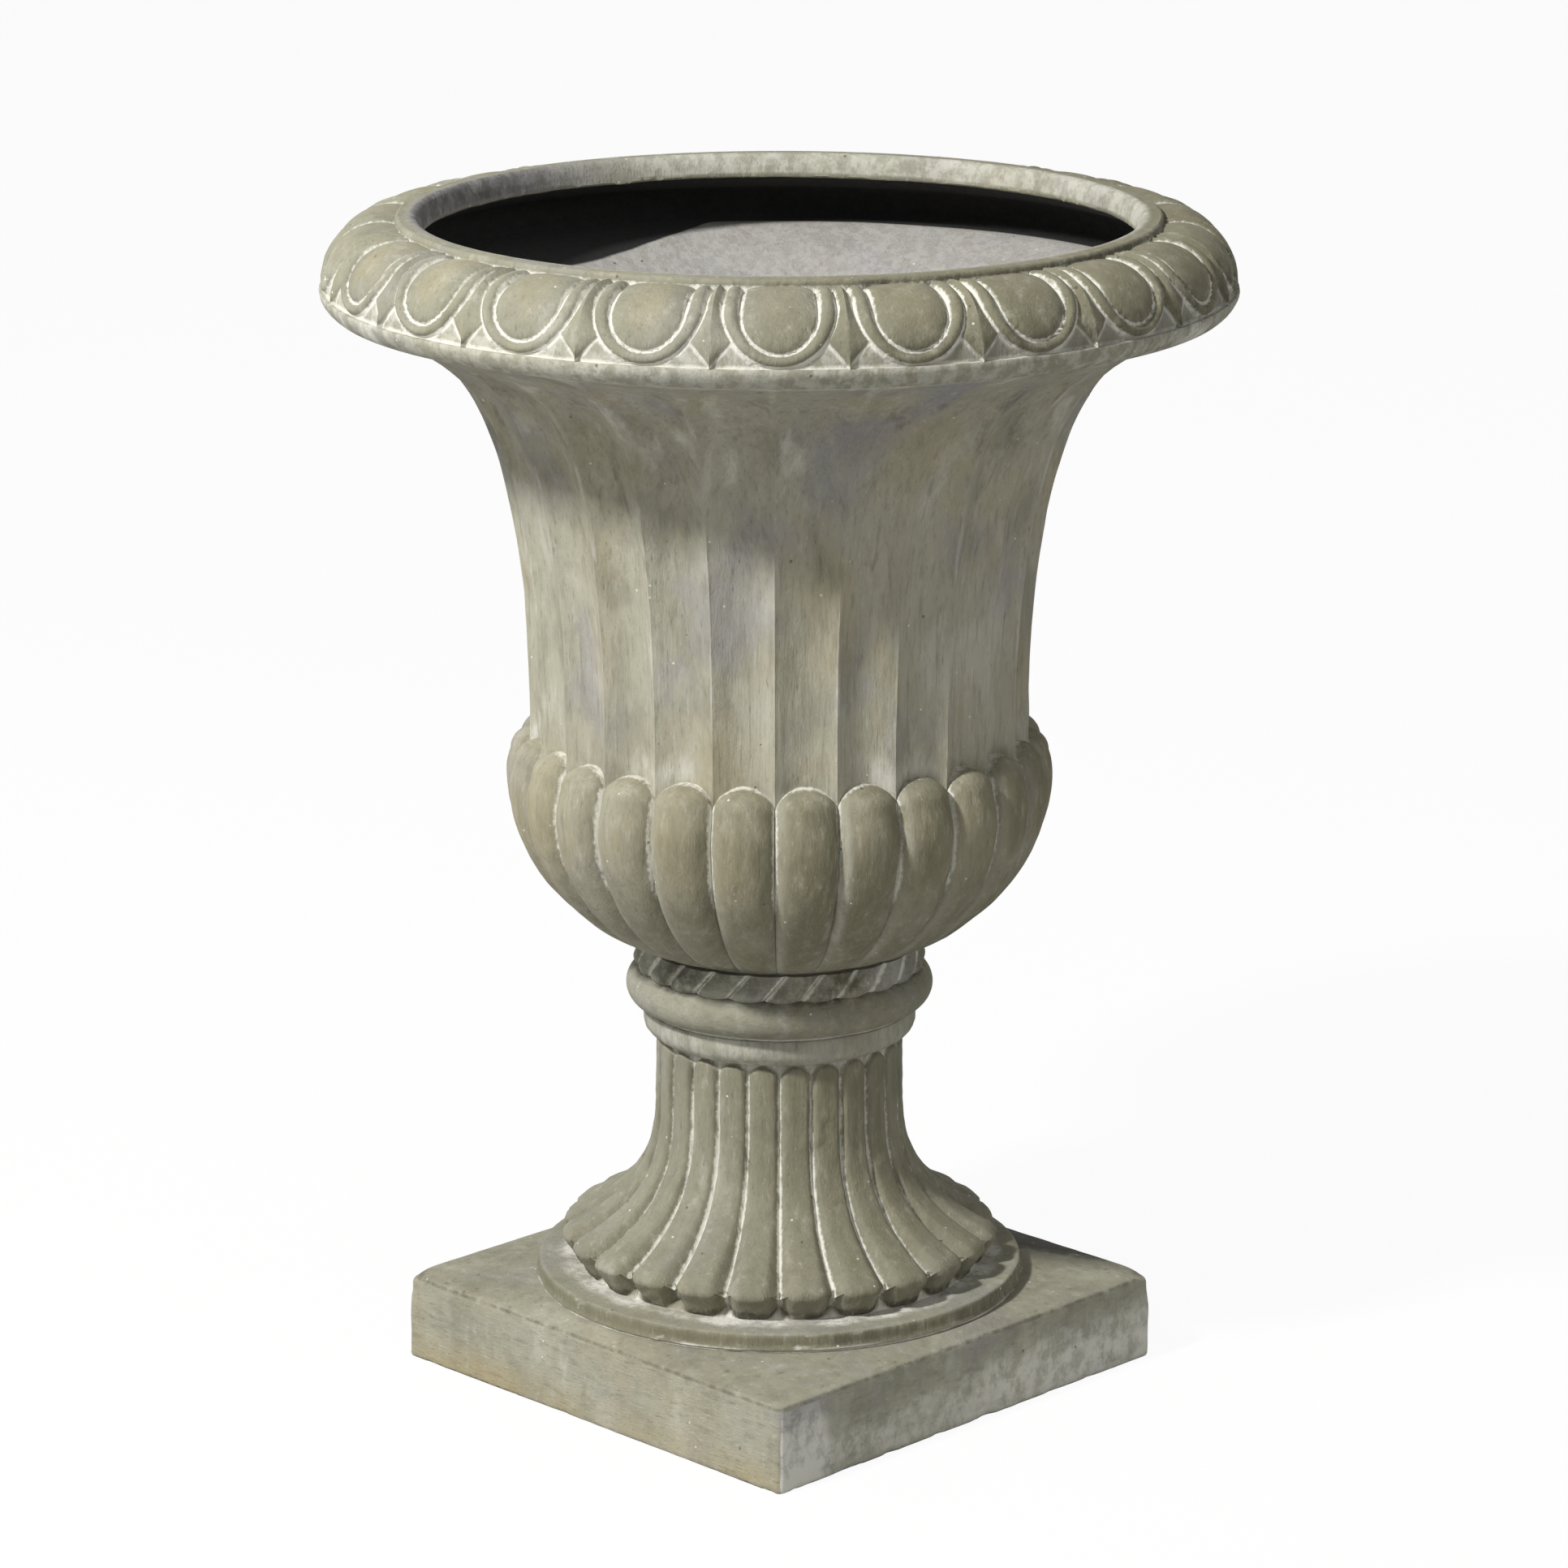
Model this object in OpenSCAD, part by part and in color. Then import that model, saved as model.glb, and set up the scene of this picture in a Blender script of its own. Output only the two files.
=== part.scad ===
// A classical garden urn cast in lightweight stone, built up from five castings on one tie rod.
// The frame: origin at the centre of the plinth's underside, +Z up, plinth sides along X and Y.
// Every level is stacked from the floor up, so a change of one height moves all that stands on it.

/* [Plinth] */
// Side of the square plinth
plinth_w = 300; // [284:1:340]
// Height of the plinth at its edges
plinth_edge_h = 50; // [44:1:80]
// Rise of the hipped top from the edge to the round seat
plinth_rise = 3; // [1:0.5:6]
// Radius of the plinth's upright corners
plinth_corner_r = 5; // [2:0.5:12]
// Side of the square recess underneath
recess_w = 226; // [180:1:240]
// Depth of the recess underneath
recess_h = 24; // [18:1:28]
// Number of weep holes through the plinth's web
weep_n = 4; // [3:1:6]
// Diameter of a weep hole
weep_d = 12; // [8:1:16]
// Radius of the circle of weep holes
weep_ring_r = 62; // [52:1:72]

/* [Round plate and foot] */
// Radius of the round plate
plate_r = 135.5; // [130:0.5:140]
// Height of the round plate
plate_h = 9; // [7:0.5:14]
// Depth of the cove round the plate's edge
plate_cove = 2.5; // [1:0.5:4]
// Height of the reeded foot, from the plate to the neck fillet
foot_h = 132.5; // [120:0.5:160]
// Number of reeds round the foot
reed_n = 24; // [20:1:28]
// Radius of the neck over the reeds
neck_r = 70; // [66:0.5:74]
// Radius of the reeds at their blunt ends
reed_end_r = 123; // [116:0.5:127]
// Height of the reeds' blunt ends above the plate
reed_end_h = 20; // [14:0.5:24]
// Depth of the grooves between the reeds at the neck
reed_groove = 2.6; // [1.5:0.1:3.5]
// Extra depth of those grooves at the blunt ends
reed_end_groove = 3; // [1:0.1:5]
// Radius of the fillet over the reeds
fillet_r = 76.5; // [74:0.5:80]
// Height of the fillet over the reeds
fillet_h = 16; // [12:0.5:22]
// Radius of the pedestal's hollow at the neck
neck_bore_r = 51; // [47:0.5:54]
// Wall of the pedestal at its flare
foot_wall = 17; // [14:0.5:20]

/* [Rope collar] */
// Largest radius of the collar's torus
torus_r = 86; // [83:0.5:92]
// Height of the torus
torus_h = 22; // [18:0.5:28]
// Radius of the rope band over its strands
rope_r = 81; // [79:0.5:84]
// Height of the rope band
rope_h = 14.5; // [12:0.5:20]
// Number of strands in the rope band
rope_n = 24; // [18:1:30]
// Depth of the grooves between the strands
rope_groove = 2.8; // [1:0.1:4]
// Turn of a strand from its bottom to its top, in degrees
rope_slant = 9; // [4:0.5:15]
// Radius of the socket in the collar's top
socket_r = 61.5; // [58:0.5:66]
// Depth of that socket
socket_h = 14; // [11:0.5:20]
// Radius of the bore through the collar's web
collar_bore_r = 42; // [34:0.5:44]
// Height of the spigot under the collar
collar_spigot_h = 8; // [5:0.5:14]

/* [Bowl] */
// Number of gadroon lobes, which is the number of flutes too
lobe_n = 26; // [20:1:30]
// Radius of the belly where it meets the collar
belly_foot_r = 76.5; // [76:0.5:84]
// Largest radius of the belly over the lobes
belly_r = 152; // [148:0.5:158]
// Height of the belly's widest level over the collar
belly_mid_h = 94; // [88:0.5:110]
// Height from the widest level to the notches between the lobes' tops
lobe_notch_h = 13.5; // [12:0.5:24]
// Rise of a lobe's round top over the notches
lobe_top_h = 13; // [9:0.5:18]
// Depth of the grooves between the lobes
lobe_groove = 8.5; // [5:0.5:10]
// Smallest radius of the bell over the arrises
bell_r = 139.5; // [136:0.5:142]
// Height of the bell, from the lobes' tops to the rim
bell_h = 236.5; // [200:0.5:280]
// Depth of the flutes
flute_depth = 3.4; // [2:0.1:5]
// Wall of the bowl behind the flutes and grooves
bowl_wall = 13; // [11:0.5:15]
// Thickness of the bowl's floor
floor_t = 17; // [15:0.5:24]
// Height of the boss under the bowl
boss_h = 9; // [6:0.5:10]
// Distance from the axis to the drain
drain_offset = 47.5; // [47:0.5:48.5]

/* [Rim] */
// Outer diameter of the rim
rim_d = 500; // [480:1:520]
// Overhang of the rim beyond the top of the bell
rim_overhang = 14.5; // [13:0.5:18]
// Height of the smooth band
band_h = 13; // [10:0.5:18]
// Draw-in of the band at its bottom edge
band_draw = 7; // [4:0.5:10]
// Height of the rim from the band's bottom edge to the lip
rim_h = 50; // [48:0.5:54]
// Radius of the ovolo's ground, which carries the eggs
ovolo_r = 30.5; // [29:0.5:31.5]
// Relief of the egg borders over that ground
egg_relief = 2.6; // [1.5:0.1:3]
// Number of eggs round the rim
egg_n = 22; // [20:1:26]
// Half width of an egg's border
egg_half_w = 28; // [24:0.5:28]
// Width of an egg's raised border
egg_border_w = 6; // [4:0.5:8]
// Gap between the border and the egg in it
egg_gap = 3; // [2:0.5:5]
// Width of the lip's top
lip_w = 15.5; // [12:0.5:20]
// Depth of the lip's inner face
lip_face_h = 13; // [10:0.5:16]
// Wall of the rim behind the ovolo
rim_wall = 14; // [12:0.5:16]
// Diameter of the reinforcing hoop's rod
hoop_d = 5; // [4:0.5:6]

/* [Bedding and tie rod] */
// Thickness of each bedding ring
bed_t = 1.5; // [1:0.1:2.5]
// Set-back of a bedding ring from the faces that it joins
bed_back = 0.5; // [0.2:0.1:1]
// Diameter of the tie rod
rod_d = 12; // [10:1:13]
// Diameter of the holes for the tie rod
rod_hole_d = 15; // [14:0.5:18]
// Stand-out of the tie rod beyond each nut
rod_end = 6; // [3:0.5:7]
// Width of the nuts across their flats
nut_af = 19; // [17:0.5:21]
// Height of the nuts
nut_h = 10; // [8:0.5:10.5]
// Diameter of the big washers
washer_d = 60; // [50:1:64]
// Thickness of the big washers
washer_t = 4; // [3:0.5:5]
// Thickness of the rubber gasket
gasket_t = 4; // [3:0.5:6]

/* [Drain] */
// Outer diameter of the drain sleeve
sleeve_d = 22; // [20:0.5:23]
// Wall of the drain sleeve
sleeve_wall = 2; // [1.5:0.1:2.5]
// Diameter of the plug's head
plug_head_d = 26; // [24:0.5:27.5]
// Thickness of the plug's head
plug_head_t = 4; // [3:0.5:6]
// Length of the plug's stem
plug_stem = 14; // [10:0.5:20]
// Running clearance round the plug's stem
plug_clear = 0.3; // [0.2:0.1:0.5]

/* [Hidden] */
$fn = 96;

// Levels, from the floor up
z_seat = plinth_edge_h + plinth_rise;
z_plate = z_seat + bed_t;
z_reeds = z_plate + plate_h;
z_fillet = z_reeds + foot_h;
z_neck_top = z_fillet + fillet_h;
z_collar = z_neck_top + bed_t;
z_rope = z_collar + torus_h;
z_collar_top = z_rope + rope_h;
z_bowl = z_collar_top + bed_t;
z_belly = z_bowl + belly_mid_h;
z_notch = z_belly + lobe_notch_h;
z_lobe_top = z_notch + lobe_top_h;
z_bowl_top = z_lobe_top + bell_h;
z_rim = z_bowl_top + bed_t;
z_ovolo = z_rim + band_h;
z_lip = z_rim + rim_h;
z_floor = z_bowl + floor_t;

rim_r = rim_d / 2;
// Width of the ledge under the eggs
ledge_w = 3.5;
// Centre of the ovolo's round ground, as [radius, height], and the angle where the ground ends, under the lip
ovolo_c = [rim_r - ledge_w - ovolo_r, z_ovolo];
ovolo_top_angle = 103;
lip_out_r = ovolo_c[0] + ovolo_r * cos(ovolo_top_angle) - 0.64;
lip_in_r = lip_out_r - lip_w;
// Outward flare of the bell, from its waist up to the rim
bell_flare = rim_r - rim_overhang - bell_r;
// Inner radius of the rim at its seat, and the bowl's seat for it
rim_inner_r = ovolo_c[0] + ovolo_r - rim_wall - 6;
rim_seat_r = rim_inner_r + 0.5;
// One corner of the plinth is at this angle, and an egg and a groove of the reeds stand over it
front_angle = -45;
lobe_phase = front_angle - 1;
reed_phase = front_angle;
rope_phase = front_angle - 2;
seat_clear = 1.5;
edge_round = 3;

// Columns of the carved skins: this many per lobe, reed or strand
lobe_cols = 8;
reed_cols = 8;
rope_cols = 6;

function mix(a, b, t) = a + (b - a) * t;
function clamp01(x) = max(0, min(1, x));
function bezier(p, t) =
    pow(1 - t, 3) * p[0] + 3 * pow(1 - t, 2) * t * p[1] + 3 * (1 - t) * t * t * p[2] + pow(t, 3) * p[3];

// A closed skin from rings of points, lowest ring first, with a flat cap at each end
module ring_skin(rings) {
    rows = len(rings);
    cols = len(rings[0]);
    points = [for (ring = rings) each ring];
    sides = [for (i = [0:rows - 2]) for (j = [0:cols - 1])
        let (k = (j + 1) % cols)
        each [[i * cols + j, (i + 1) * cols + j, (i + 1) * cols + k],
              [i * cols + j, (i + 1) * cols + k, i * cols + k]]];
    bottom = [for (j = [0:cols - 1]) j];
    top = [for (j = [cols - 1:-1:0]) (rows - 1) * cols + j];
    polyhedron(points, concat(sides, [bottom, top]), convexity = 8);
}

// A ring with a rectangular section
module flat_ring(r_in, r_out, z, h) {
    translate([0, 0, z])
        difference() {
            cylinder(r = r_out, h = h);
            translate([0, 0, -1]) cylinder(r = r_in, h = h + 2);
        }
}

// Plinth

module plinth() {
    hip = atan(plinth_rise / (plinth_w / 2 - plate_r / sqrt(2)));
    seat_r = plate_r + plate_cove + seat_clear;
    color("#a09c89")
    difference() {
        union() {
            difference() {
                linear_extrude(z_seat + 4 * plinth_rise) rounded_square(plinth_w, plinth_corner_r);
                // The four sloping faces of the hipped top
                for (i = [0:3])
                    rotate([0, 0, 90 * i])
                    translate([plinth_w / 2, 0, plinth_edge_h])
                    rotate([0, hip, 0])
                    translate([-plinth_w, -plinth_w, 0])
                    cube([2 * plinth_w, 2 * plinth_w, plinth_w]);
            }
            cylinder(r = seat_r, h = z_seat);
        }
        translate([0, 0, z_seat]) cylinder(r = seat_r, h = plinth_w);
        // Recess underneath, its corners rounded
        translate([0, 0, -1])
            linear_extrude(recess_h + 1)
            rounded_square(recess_w, 12);
        translate([0, 0, -1]) cylinder(d = rod_hole_d, h = z_seat + 2);
        for (i = [0:weep_n - 1])
            rotate([0, 0, 360 * (i + 0.5) / weep_n])
            translate([weep_ring_r, 0, -1])
            cylinder(d = weep_d, h = z_seat + 2);
    }
}

module rounded_square(w, r) {
    union() {
        square([w - 2 * r, w], center = true);
        square([w, w - 2 * r], center = true);
        for (x = [-1, 1])
            for (y = [-1, 1])
                translate([x * (w / 2 - r), y * (w / 2 - r)]) circle(r);
    }
}

module plinth_bedding() {
    color("#c9c7bd")
    flat_ring(foot_inner_r + bed_back, plate_r + plate_cove - bed_back, z_seat, bed_t);
}

// Pedestal: plate, reeded foot and neck fillet

// Crest line of the reeds, from the neck down to the blunt ends, as a curve with four control points
reed_end_z = z_reeds + reed_end_h;
reed_curve = [[neck_r, mix(reed_end_z, z_fillet, 0.72)], [neck_r, mix(reed_end_z, z_fillet, 0.39)],
              [neck_r + 6, mix(reed_end_z, z_fillet, 0.18)], [reed_end_r - 2, reed_end_z]];
foot_inner_r = reed_end_r - foot_wall - 4;

// Rows of the foot: [crest radius, height, groove depth]
function reed_row_list() = concat(
    [[reed_end_r - 13, z_reeds - 3, reed_groove + reed_end_groove]],
    [for (a = [0:3]) let (s = a / 3)
        [mix(reed_end_r - 12, reed_end_r, sin(90 * s)), mix(z_reeds, reed_end_z - 6, 1 - cos(90 * s)),
         reed_groove + reed_end_groove]],
    [for (t = [1, 0.93, 0.85, 0.76, 0.66, 0.55, 0.42, 0.26, 0]) let (p = bezier(reed_curve, t))
        [p[0], p[1], reed_groove + reed_end_groove * pow(t, 6)]],
    [[neck_r, z_fillet - 9, reed_groove], [neck_r - 0.4, z_fillet - 4, reed_groove - 0.4],
     [neck_r - reed_groove, z_fillet - 1, 0], [neck_r - reed_groove, z_fillet + 6, 0]]);

module pedestal() {
    rows = reed_row_list();
    rings = [for (row = rows)
        [for (j = [0:reed_n * reed_cols - 1])
            let (t = 2 * (j % reed_cols) / reed_cols - 1,
                 a = reed_phase + 360 * j / (reed_n * reed_cols),
                 r = row[0] - row[2] * pow(abs(t), 2.5))
            [r * cos(a), r * sin(a), row[1]]]];
    color("#9d9b89")
    difference() {
        union() {
            ring_skin(rings);
            rotate_extrude() plate_section();
            rotate_extrude() fillet_section();
        }
        rotate_extrude() foot_hollow();
    }
}

module plate_section() {
    difference() {
        translate([0, z_plate]) square([plate_r + plate_cove, plate_h]);
        // Cove round the edge, under a narrow bead
        translate([plate_r + plate_cove, z_plate + plate_h / 2]) circle(plate_cove);
        translate([plate_r, z_plate + plate_h / 2]) square([2 * plate_cove, plate_h]);
    }
}

module fillet_section() {
    // The round reaches a little inside the grooves' bottoms
    drop = fillet_r - neck_r + reed_groove + 2;
    difference() {
        translate([0, z_fillet]) square([fillet_r, fillet_h]);
        // The fillet's lower edge turns under in a quarter round
        translate([fillet_r - drop, z_fillet - 0.01])
            difference() {
                square([drop + 1, drop]);
                translate([0, drop]) circle(drop);
            }
    }
}

// Inner line of the foot: the crest line moved in by the wall, no closer to the axis than the neck's bore
module foot_hollow() {
    line = [for (t = [1, 0.9, 0.8, 0.7, 0.6]) let (p = bezier(reed_curve, t))
        [max(neck_bore_r, p[0] - foot_wall - reed_groove), p[1] - foot_wall * t]];
    polygon(concat([[0, z_plate - 1], [foot_inner_r, z_plate - 1], [foot_inner_r, line[0][1] - 6]], line,
                   [[neck_bore_r, bezier(reed_curve, 0.4)[1]], [neck_bore_r, z_neck_top + 1],
                    [0, z_neck_top + 1]]));
}

module collar_bedding() {
    color("#c9c7bd")
    flat_ring(neck_bore_r + bed_back, fillet_r - bed_back, z_neck_top, bed_t);
}

// Rope collar: torus, rope band, socket for the bowl's boss and spigot into the neck

rope_foot_r = rope_r - rope_groove;
// The strands start this far down inside the torus
rope_sink = 4;
spigot_r = neck_bore_r - seat_clear;

module rope_collar() {
    levels = [0, 0.12, 0.32, 0.5, 0.68, 0.88, 1];
    rings = [for (s = levels)
        [for (j = [0:rope_n * rope_cols - 1])
            let (t = 2 * (j % rope_cols) / rope_cols - 1,
                 a = rope_phase + 360 * j / (rope_n * rope_cols) + rope_slant * (s - 0.5),
                 swell = sqrt(max(0, 1 - pow(2 * s - 1, 4))),
                 r = rope_foot_r + rope_groove * (1 - pow(abs(t), 2.2)) * mix(0.35, 1, swell))
            [r * cos(a), r * sin(a), mix(z_rope - rope_sink, z_collar_top, s)]]];
    color("#989583")
    difference() {
        union() {
            ring_skin(rings);
            rotate_extrude() torus_section();
            translate([0, 0, z_collar - collar_spigot_h - bed_t])
                cylinder(r = spigot_r, h = collar_spigot_h + bed_t + 1);
        }
        translate([0, 0, z_collar_top - socket_h]) cylinder(r = socket_r, h = socket_h + 1);
        translate([0, 0, z_collar - collar_spigot_h - bed_t - 1])
            cylinder(r = collar_bore_r, h = torus_h + rope_h);
    }
}

module torus_section() {
    half = torus_h / 2;
    union() {
        translate([0, z_collar]) square([torus_r - half, torus_h]);
        translate([torus_r - half, z_collar + half]) circle(half);
    }
}

module bowl_bedding() {
    color("#c9c7bd")
    flat_ring(socket_r + bed_back, belly_foot_r - belly_groove(z_bowl) - bed_back, z_collar_top, bed_t);
}

// Bowl: belly with lobes, bell with flutes

// Crest radius of the belly at a height
function belly_crest(z) =
    z <= z_belly
    ? mix(belly_foot_r, belly_r, pow(max(0, 1 - pow((z_belly - z) / belly_mid_h, 2)), 0.714))
    : belly_r - 2.5 * pow((z - z_belly) / lobe_notch_h, 2);

// Groove depth between the lobes, shallow at the foot of the belly and full at its widest level
function belly_groove(z) = lobe_groove * mix(0.3, 1, pow(clamp01((z - z_bowl) / belly_mid_h), 0.8));

// Radius of the bell over its arrises
function bell_arris(z) =
    let (w = clamp01((z - z_lobe_top) / bell_h))
    bell_r + bell_flare * (pow(w, 2.65) + pow(w, 12)) / 2;

// Depth of the flutes, which fade out towards the rim
function flute_at(z) =
    let (w = clamp01((z - z_lobe_top) / bell_h))
    flute_depth * (1 - pow(w, 8));

// Radius of the carved skin at a height, and at t = -1 to 1 across a lobe
function bowl_skin_r(z, t) =
    let (bell = bell_arris(z) - flute_at(z) * (1 - t * t),
         up = max(0, z - z_notch) / lobe_top_h,
         q = t * t + up * up,
         round_top = sqrt(max(0, 1 - q)),
         groove_r = z <= z_notch ? belly_crest(z) - belly_groove(z) : bell_arris(z),
         crest_r = z <= z_notch ? belly_crest(z) : belly_crest(z_notch))
    z <= z_notch ? mix(groove_r, crest_r, sqrt(max(0, 1 - t * t)))
    : q < 1 ? max(bell, mix(bell, crest_r, round_top))
    : bell;

function bowl_levels() = concat(
    [for (s = [0, 0.05, 0.13, 0.24, 0.38, 0.55, 0.76, 1]) mix(z_bowl, z_belly, s)],
    [z_belly + lobe_notch_h * 0.6, z_notch],
    [for (s = [0.35, 0.65, 0.88, 1]) mix(z_notch, z_lobe_top, s)],
    [for (s = [0.15, 0.35, 0.55, 0.7, 0.82, 0.9, 0.96, 1]) mix(z_lobe_top, z_bowl_top, s)]);

// Radius of the smooth line under the carving, and its slope
function bowl_line(z) =
    z <= z_notch ? belly_crest(z) - belly_groove(z)
    : bell_arris(z) - flute_at(z);
function bowl_slope(z) = (bowl_line(z + 0.5) - bowl_line(z - 0.5));
// Point of the inner face: the smooth line moved in by the wall, square to itself
function bowl_inner(z) =
    let (s = bowl_slope(z), n = sqrt(1 + s * s))
    [bowl_line(z) - bowl_wall / n, z + bowl_wall * s / n];

function bowl_inner_line() =
    let (pts = [for (s = [0.06, 0.12, 0.2, 0.3, 0.42, 0.56, 0.74, 0.94])
             bowl_inner(mix(z_bowl, z_belly, s))],
         ups = [for (s = [0.02, 0.25, 0.45, 0.6, 0.72, 0.8, 0.86, 0.91, 0.95, 0.98])
             bowl_inner(mix(z_lobe_top, z_bowl_top, s))])
    concat([for (p = pts) if (p[1] > z_floor + 3) p], [for (p = ups) if (p[0] < rim_seat_r - 1) p]);

module bowl() {
    cols = lobe_n * lobe_cols;
    rings = [for (z = bowl_levels())
        [for (j = [0:cols - 1])
            let (t = 2 * (j % lobe_cols) / lobe_cols - 1,
                 a = lobe_phase + 360 * j / cols,
                 r = bowl_skin_r(z, t))
            [r * cos(a), r * sin(a), z]]];
    color("#a19e8b")
    difference() {
        union() {
            ring_skin(rings);
            translate([0, 0, z_bowl - boss_h]) cylinder(r = socket_r - seat_clear, h = boss_h + 1);
            // Upstand that centres the rim
            rotate_extrude() upstand_section();
        }
        rotate_extrude() bowl_hollow();
        translate([0, 0, z_bowl - boss_h - 1]) cylinder(d = rod_hole_d, h = floor_t + boss_h + 2);
        translate([drain_offset, 0, z_bowl - boss_h - 1]) cylinder(d = sleeve_d, h = floor_t + boss_h + 2);
    }
}

upstand_h = 9;

module upstand_section() {
    translate([rim_seat_r - 14, z_bowl_top - 1]) square([14 - seat_clear, upstand_h + 1]);
}

module bowl_hollow() {
    line = bowl_inner_line();
    top = z_bowl_top + upstand_h + 1;
    polygon(concat([[0, z_floor], [line[0][0] - 5, z_floor]], line,
                   [[rim_seat_r - seat_clear - 2, top], [0, top]]));
}

module rim_bedding() {
    color("#c9c7bd")
    flat_ring(rim_seat_r + bed_back, bell_arris(z_bowl_top) - bed_back, z_bowl_top, bed_t);
}

// Rim: lip, ovolo with eggs and darts, smooth band

// Columns of one egg's stretch of the ovolo, from dart to dart
egg_cols = [-1, -0.93, -0.87, -0.76, -0.64, -0.52, -0.27, 0, 0.27, 0.52, 0.64, 0.76, 0.87, 0.93];
// Rows of the ovolo, from the band up to the lip
egg_rows = [0, 0.05, 0.11, 0.2, 0.32, 0.46, 0.62, 0.8, 1];
// Half the width of one egg's stretch, measured half way down the ovolo
egg_pitch_half = PI * (ovolo_c[0] + 0.7 * ovolo_r) / egg_n;

// Share of the full relief, at t = -1 to 1 from dart to dart and v = 0 to 1 from the band to the lip
function egg_height(t, v) =
    let (round_v = 0.54,
         up = max(0, round_v - v) * 1.71,
         d = sqrt(t * t + up * up),
         border_out = egg_half_w / egg_pitch_half,
         border_in = border_out - egg_border_w / egg_pitch_half,
         egg_out = border_in - egg_gap / egg_pitch_half)
    d < egg_out ? 0.55 + 0.45 * sqrt(1 - pow(d / egg_out, 2))
    : d < border_in ? 0.1
    : d < border_out ? 1
    : abs(t) > 0.92 && v > 0.08 ? 0.9
    : 0;

module rim() {
    n = len(egg_cols);
    rings = [for (v = egg_rows)
        [for (j = [0:egg_n * n - 1])
            let (t = egg_cols[j % n],
                 a = front_angle + 360 / egg_n * (floor(j / n) + t / 2),
                 b = ovolo_top_angle * v,
                 // The last row is smooth, under the lip
                 r = ovolo_r + (v < 1 ? egg_relief * egg_height(t, v) : 0))
            [(ovolo_c[0] + r * cos(b)) * cos(a), (ovolo_c[0] + r * cos(b)) * sin(a), z_ovolo + r * sin(b)]]];
    color("#a3a18f")
    difference() {
        union() {
            ring_skin(rings);
            rotate_extrude() lip_section();
            rotate_extrude() band_section();
        }
        rotate_extrude() rim_hollow();
        rotate_extrude() translate(hoop_c) circle(d = hoop_d);
    }
}

hoop_c = ovolo_c + (ovolo_r - rim_wall / 2) * [cos(45), sin(45)];

// Lip with rounded edges
module lip_section() {
    union() {
        translate([lip_in_r - 5, z_lip - lip_face_h - 2])
            square([lip_out_r - lip_in_r + 5, lip_face_h + 2 - edge_round]);
        translate([lip_in_r - 5, z_lip - edge_round - 1])
            square([lip_out_r - lip_in_r - edge_round + 5, edge_round + 1]);
        translate([lip_out_r - edge_round, z_lip - edge_round]) circle(edge_round);
    }
}

// Smooth band, drawn in towards its bottom edge
module band_section() {
    polygon(concat([[rim_inner_r - 2, z_rim], [rim_r - band_draw, z_rim]],
                   [for (s = [0.2, 0.4, 0.6, 0.8, 1])
                       [rim_r - band_draw * pow(1 - s, 2), mix(z_rim, z_ovolo, s)]],
                   [[rim_inner_r - 2, z_ovolo + 1]]));
}

// Hollow of the rim: the mouth inside the lip, and the space behind the ovolo
module rim_hollow() {
    union() {
        polygon([[0, z_lip + 1], [lip_in_r + 1, z_lip + 1], [lip_in_r, z_lip - 1.5],
                 [lip_in_r, z_lip - lip_face_h], [ovolo_c[0] - 4, z_ovolo + ovolo_r - rim_wall - 1],
                 [ovolo_c[0] - 4, z_ovolo], [0, z_ovolo]]);
        translate(ovolo_c) circle(ovolo_r - rim_wall);
        polygon([[0, z_rim - 1], [rim_inner_r, z_rim - 1], [rim_inner_r, z_rim + 4],
                 [ovolo_c[0] + ovolo_r - rim_wall, z_ovolo], [0, z_ovolo + 0.5]]);
    }
}

module rim_hoop() {
    color("#6f6a62")
    rotate_extrude() translate(hoop_c) circle(d = hoop_d);
}

// Tie rod and its hardware

z_base_washer = recess_h - washer_t;
z_base_nut = z_base_washer - nut_h;
z_bowl_washer = z_floor + gasket_t;
z_bowl_nut = z_bowl_washer + washer_t;

module tie_rod() {
    chamfer = 1.2;
    low = z_base_nut - rod_end;
    high = z_bowl_nut + nut_h + rod_end;
    color("#a7a9a6")
    union() {
        translate([0, 0, low + chamfer]) cylinder(d = rod_d, h = high - low - 2 * chamfer);
        translate([0, 0, low]) cylinder(d1 = rod_d - 2 * chamfer, d2 = rod_d, h = chamfer);
        translate([0, 0, high - chamfer]) cylinder(d1 = rod_d, d2 = rod_d - 2 * chamfer, h = chamfer);
    }
}

module washer(d, z, t) {
    flat_ring(rod_d / 2 + 0.5, d / 2, z, t);
}

module nut(z) {
    wide = nut_af / 2 + nut_h + 3;
    translate([0, 0, z])
        difference() {
            intersection() {
                cylinder(d = nut_af / cos(30), h = nut_h, $fn = 6);
                // Chamfered corners
                translate([0, 0, -1]) cylinder(r1 = nut_af / 2, r2 = wide, h = nut_h + 4);
                translate([0, 0, -3]) cylinder(r1 = wide, r2 = nut_af / 2, h = nut_h + 4);
            }
            translate([0, 0, -1]) cylinder(d = rod_d + 0.1, h = nut_h + 2);
        }
}

module bowl_gasket() {
    color("#2b2b2a") washer(washer_d + 6, z_floor, gasket_t);
}

module bowl_washer() {
    color("#a7a9a6") washer(washer_d, z_bowl_washer, washer_t);
}

module bowl_nut() {
    color("#a7a9a6") nut(z_bowl_nut);
}

module base_washer() {
    color("#a7a9a6") washer(washer_d, z_base_washer, washer_t);
}

module base_nut() {
    color("#a7a9a6") nut(z_base_nut);
}

// Drain

sleeve_bore = sleeve_d - 2 * sleeve_wall;

module drain_sleeve() {
    color("#4a4d50")
    translate([drain_offset, 0, 0])
        flat_ring(sleeve_bore / 2, sleeve_d / 2, z_bowl - boss_h, floor_t + boss_h);
}

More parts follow.
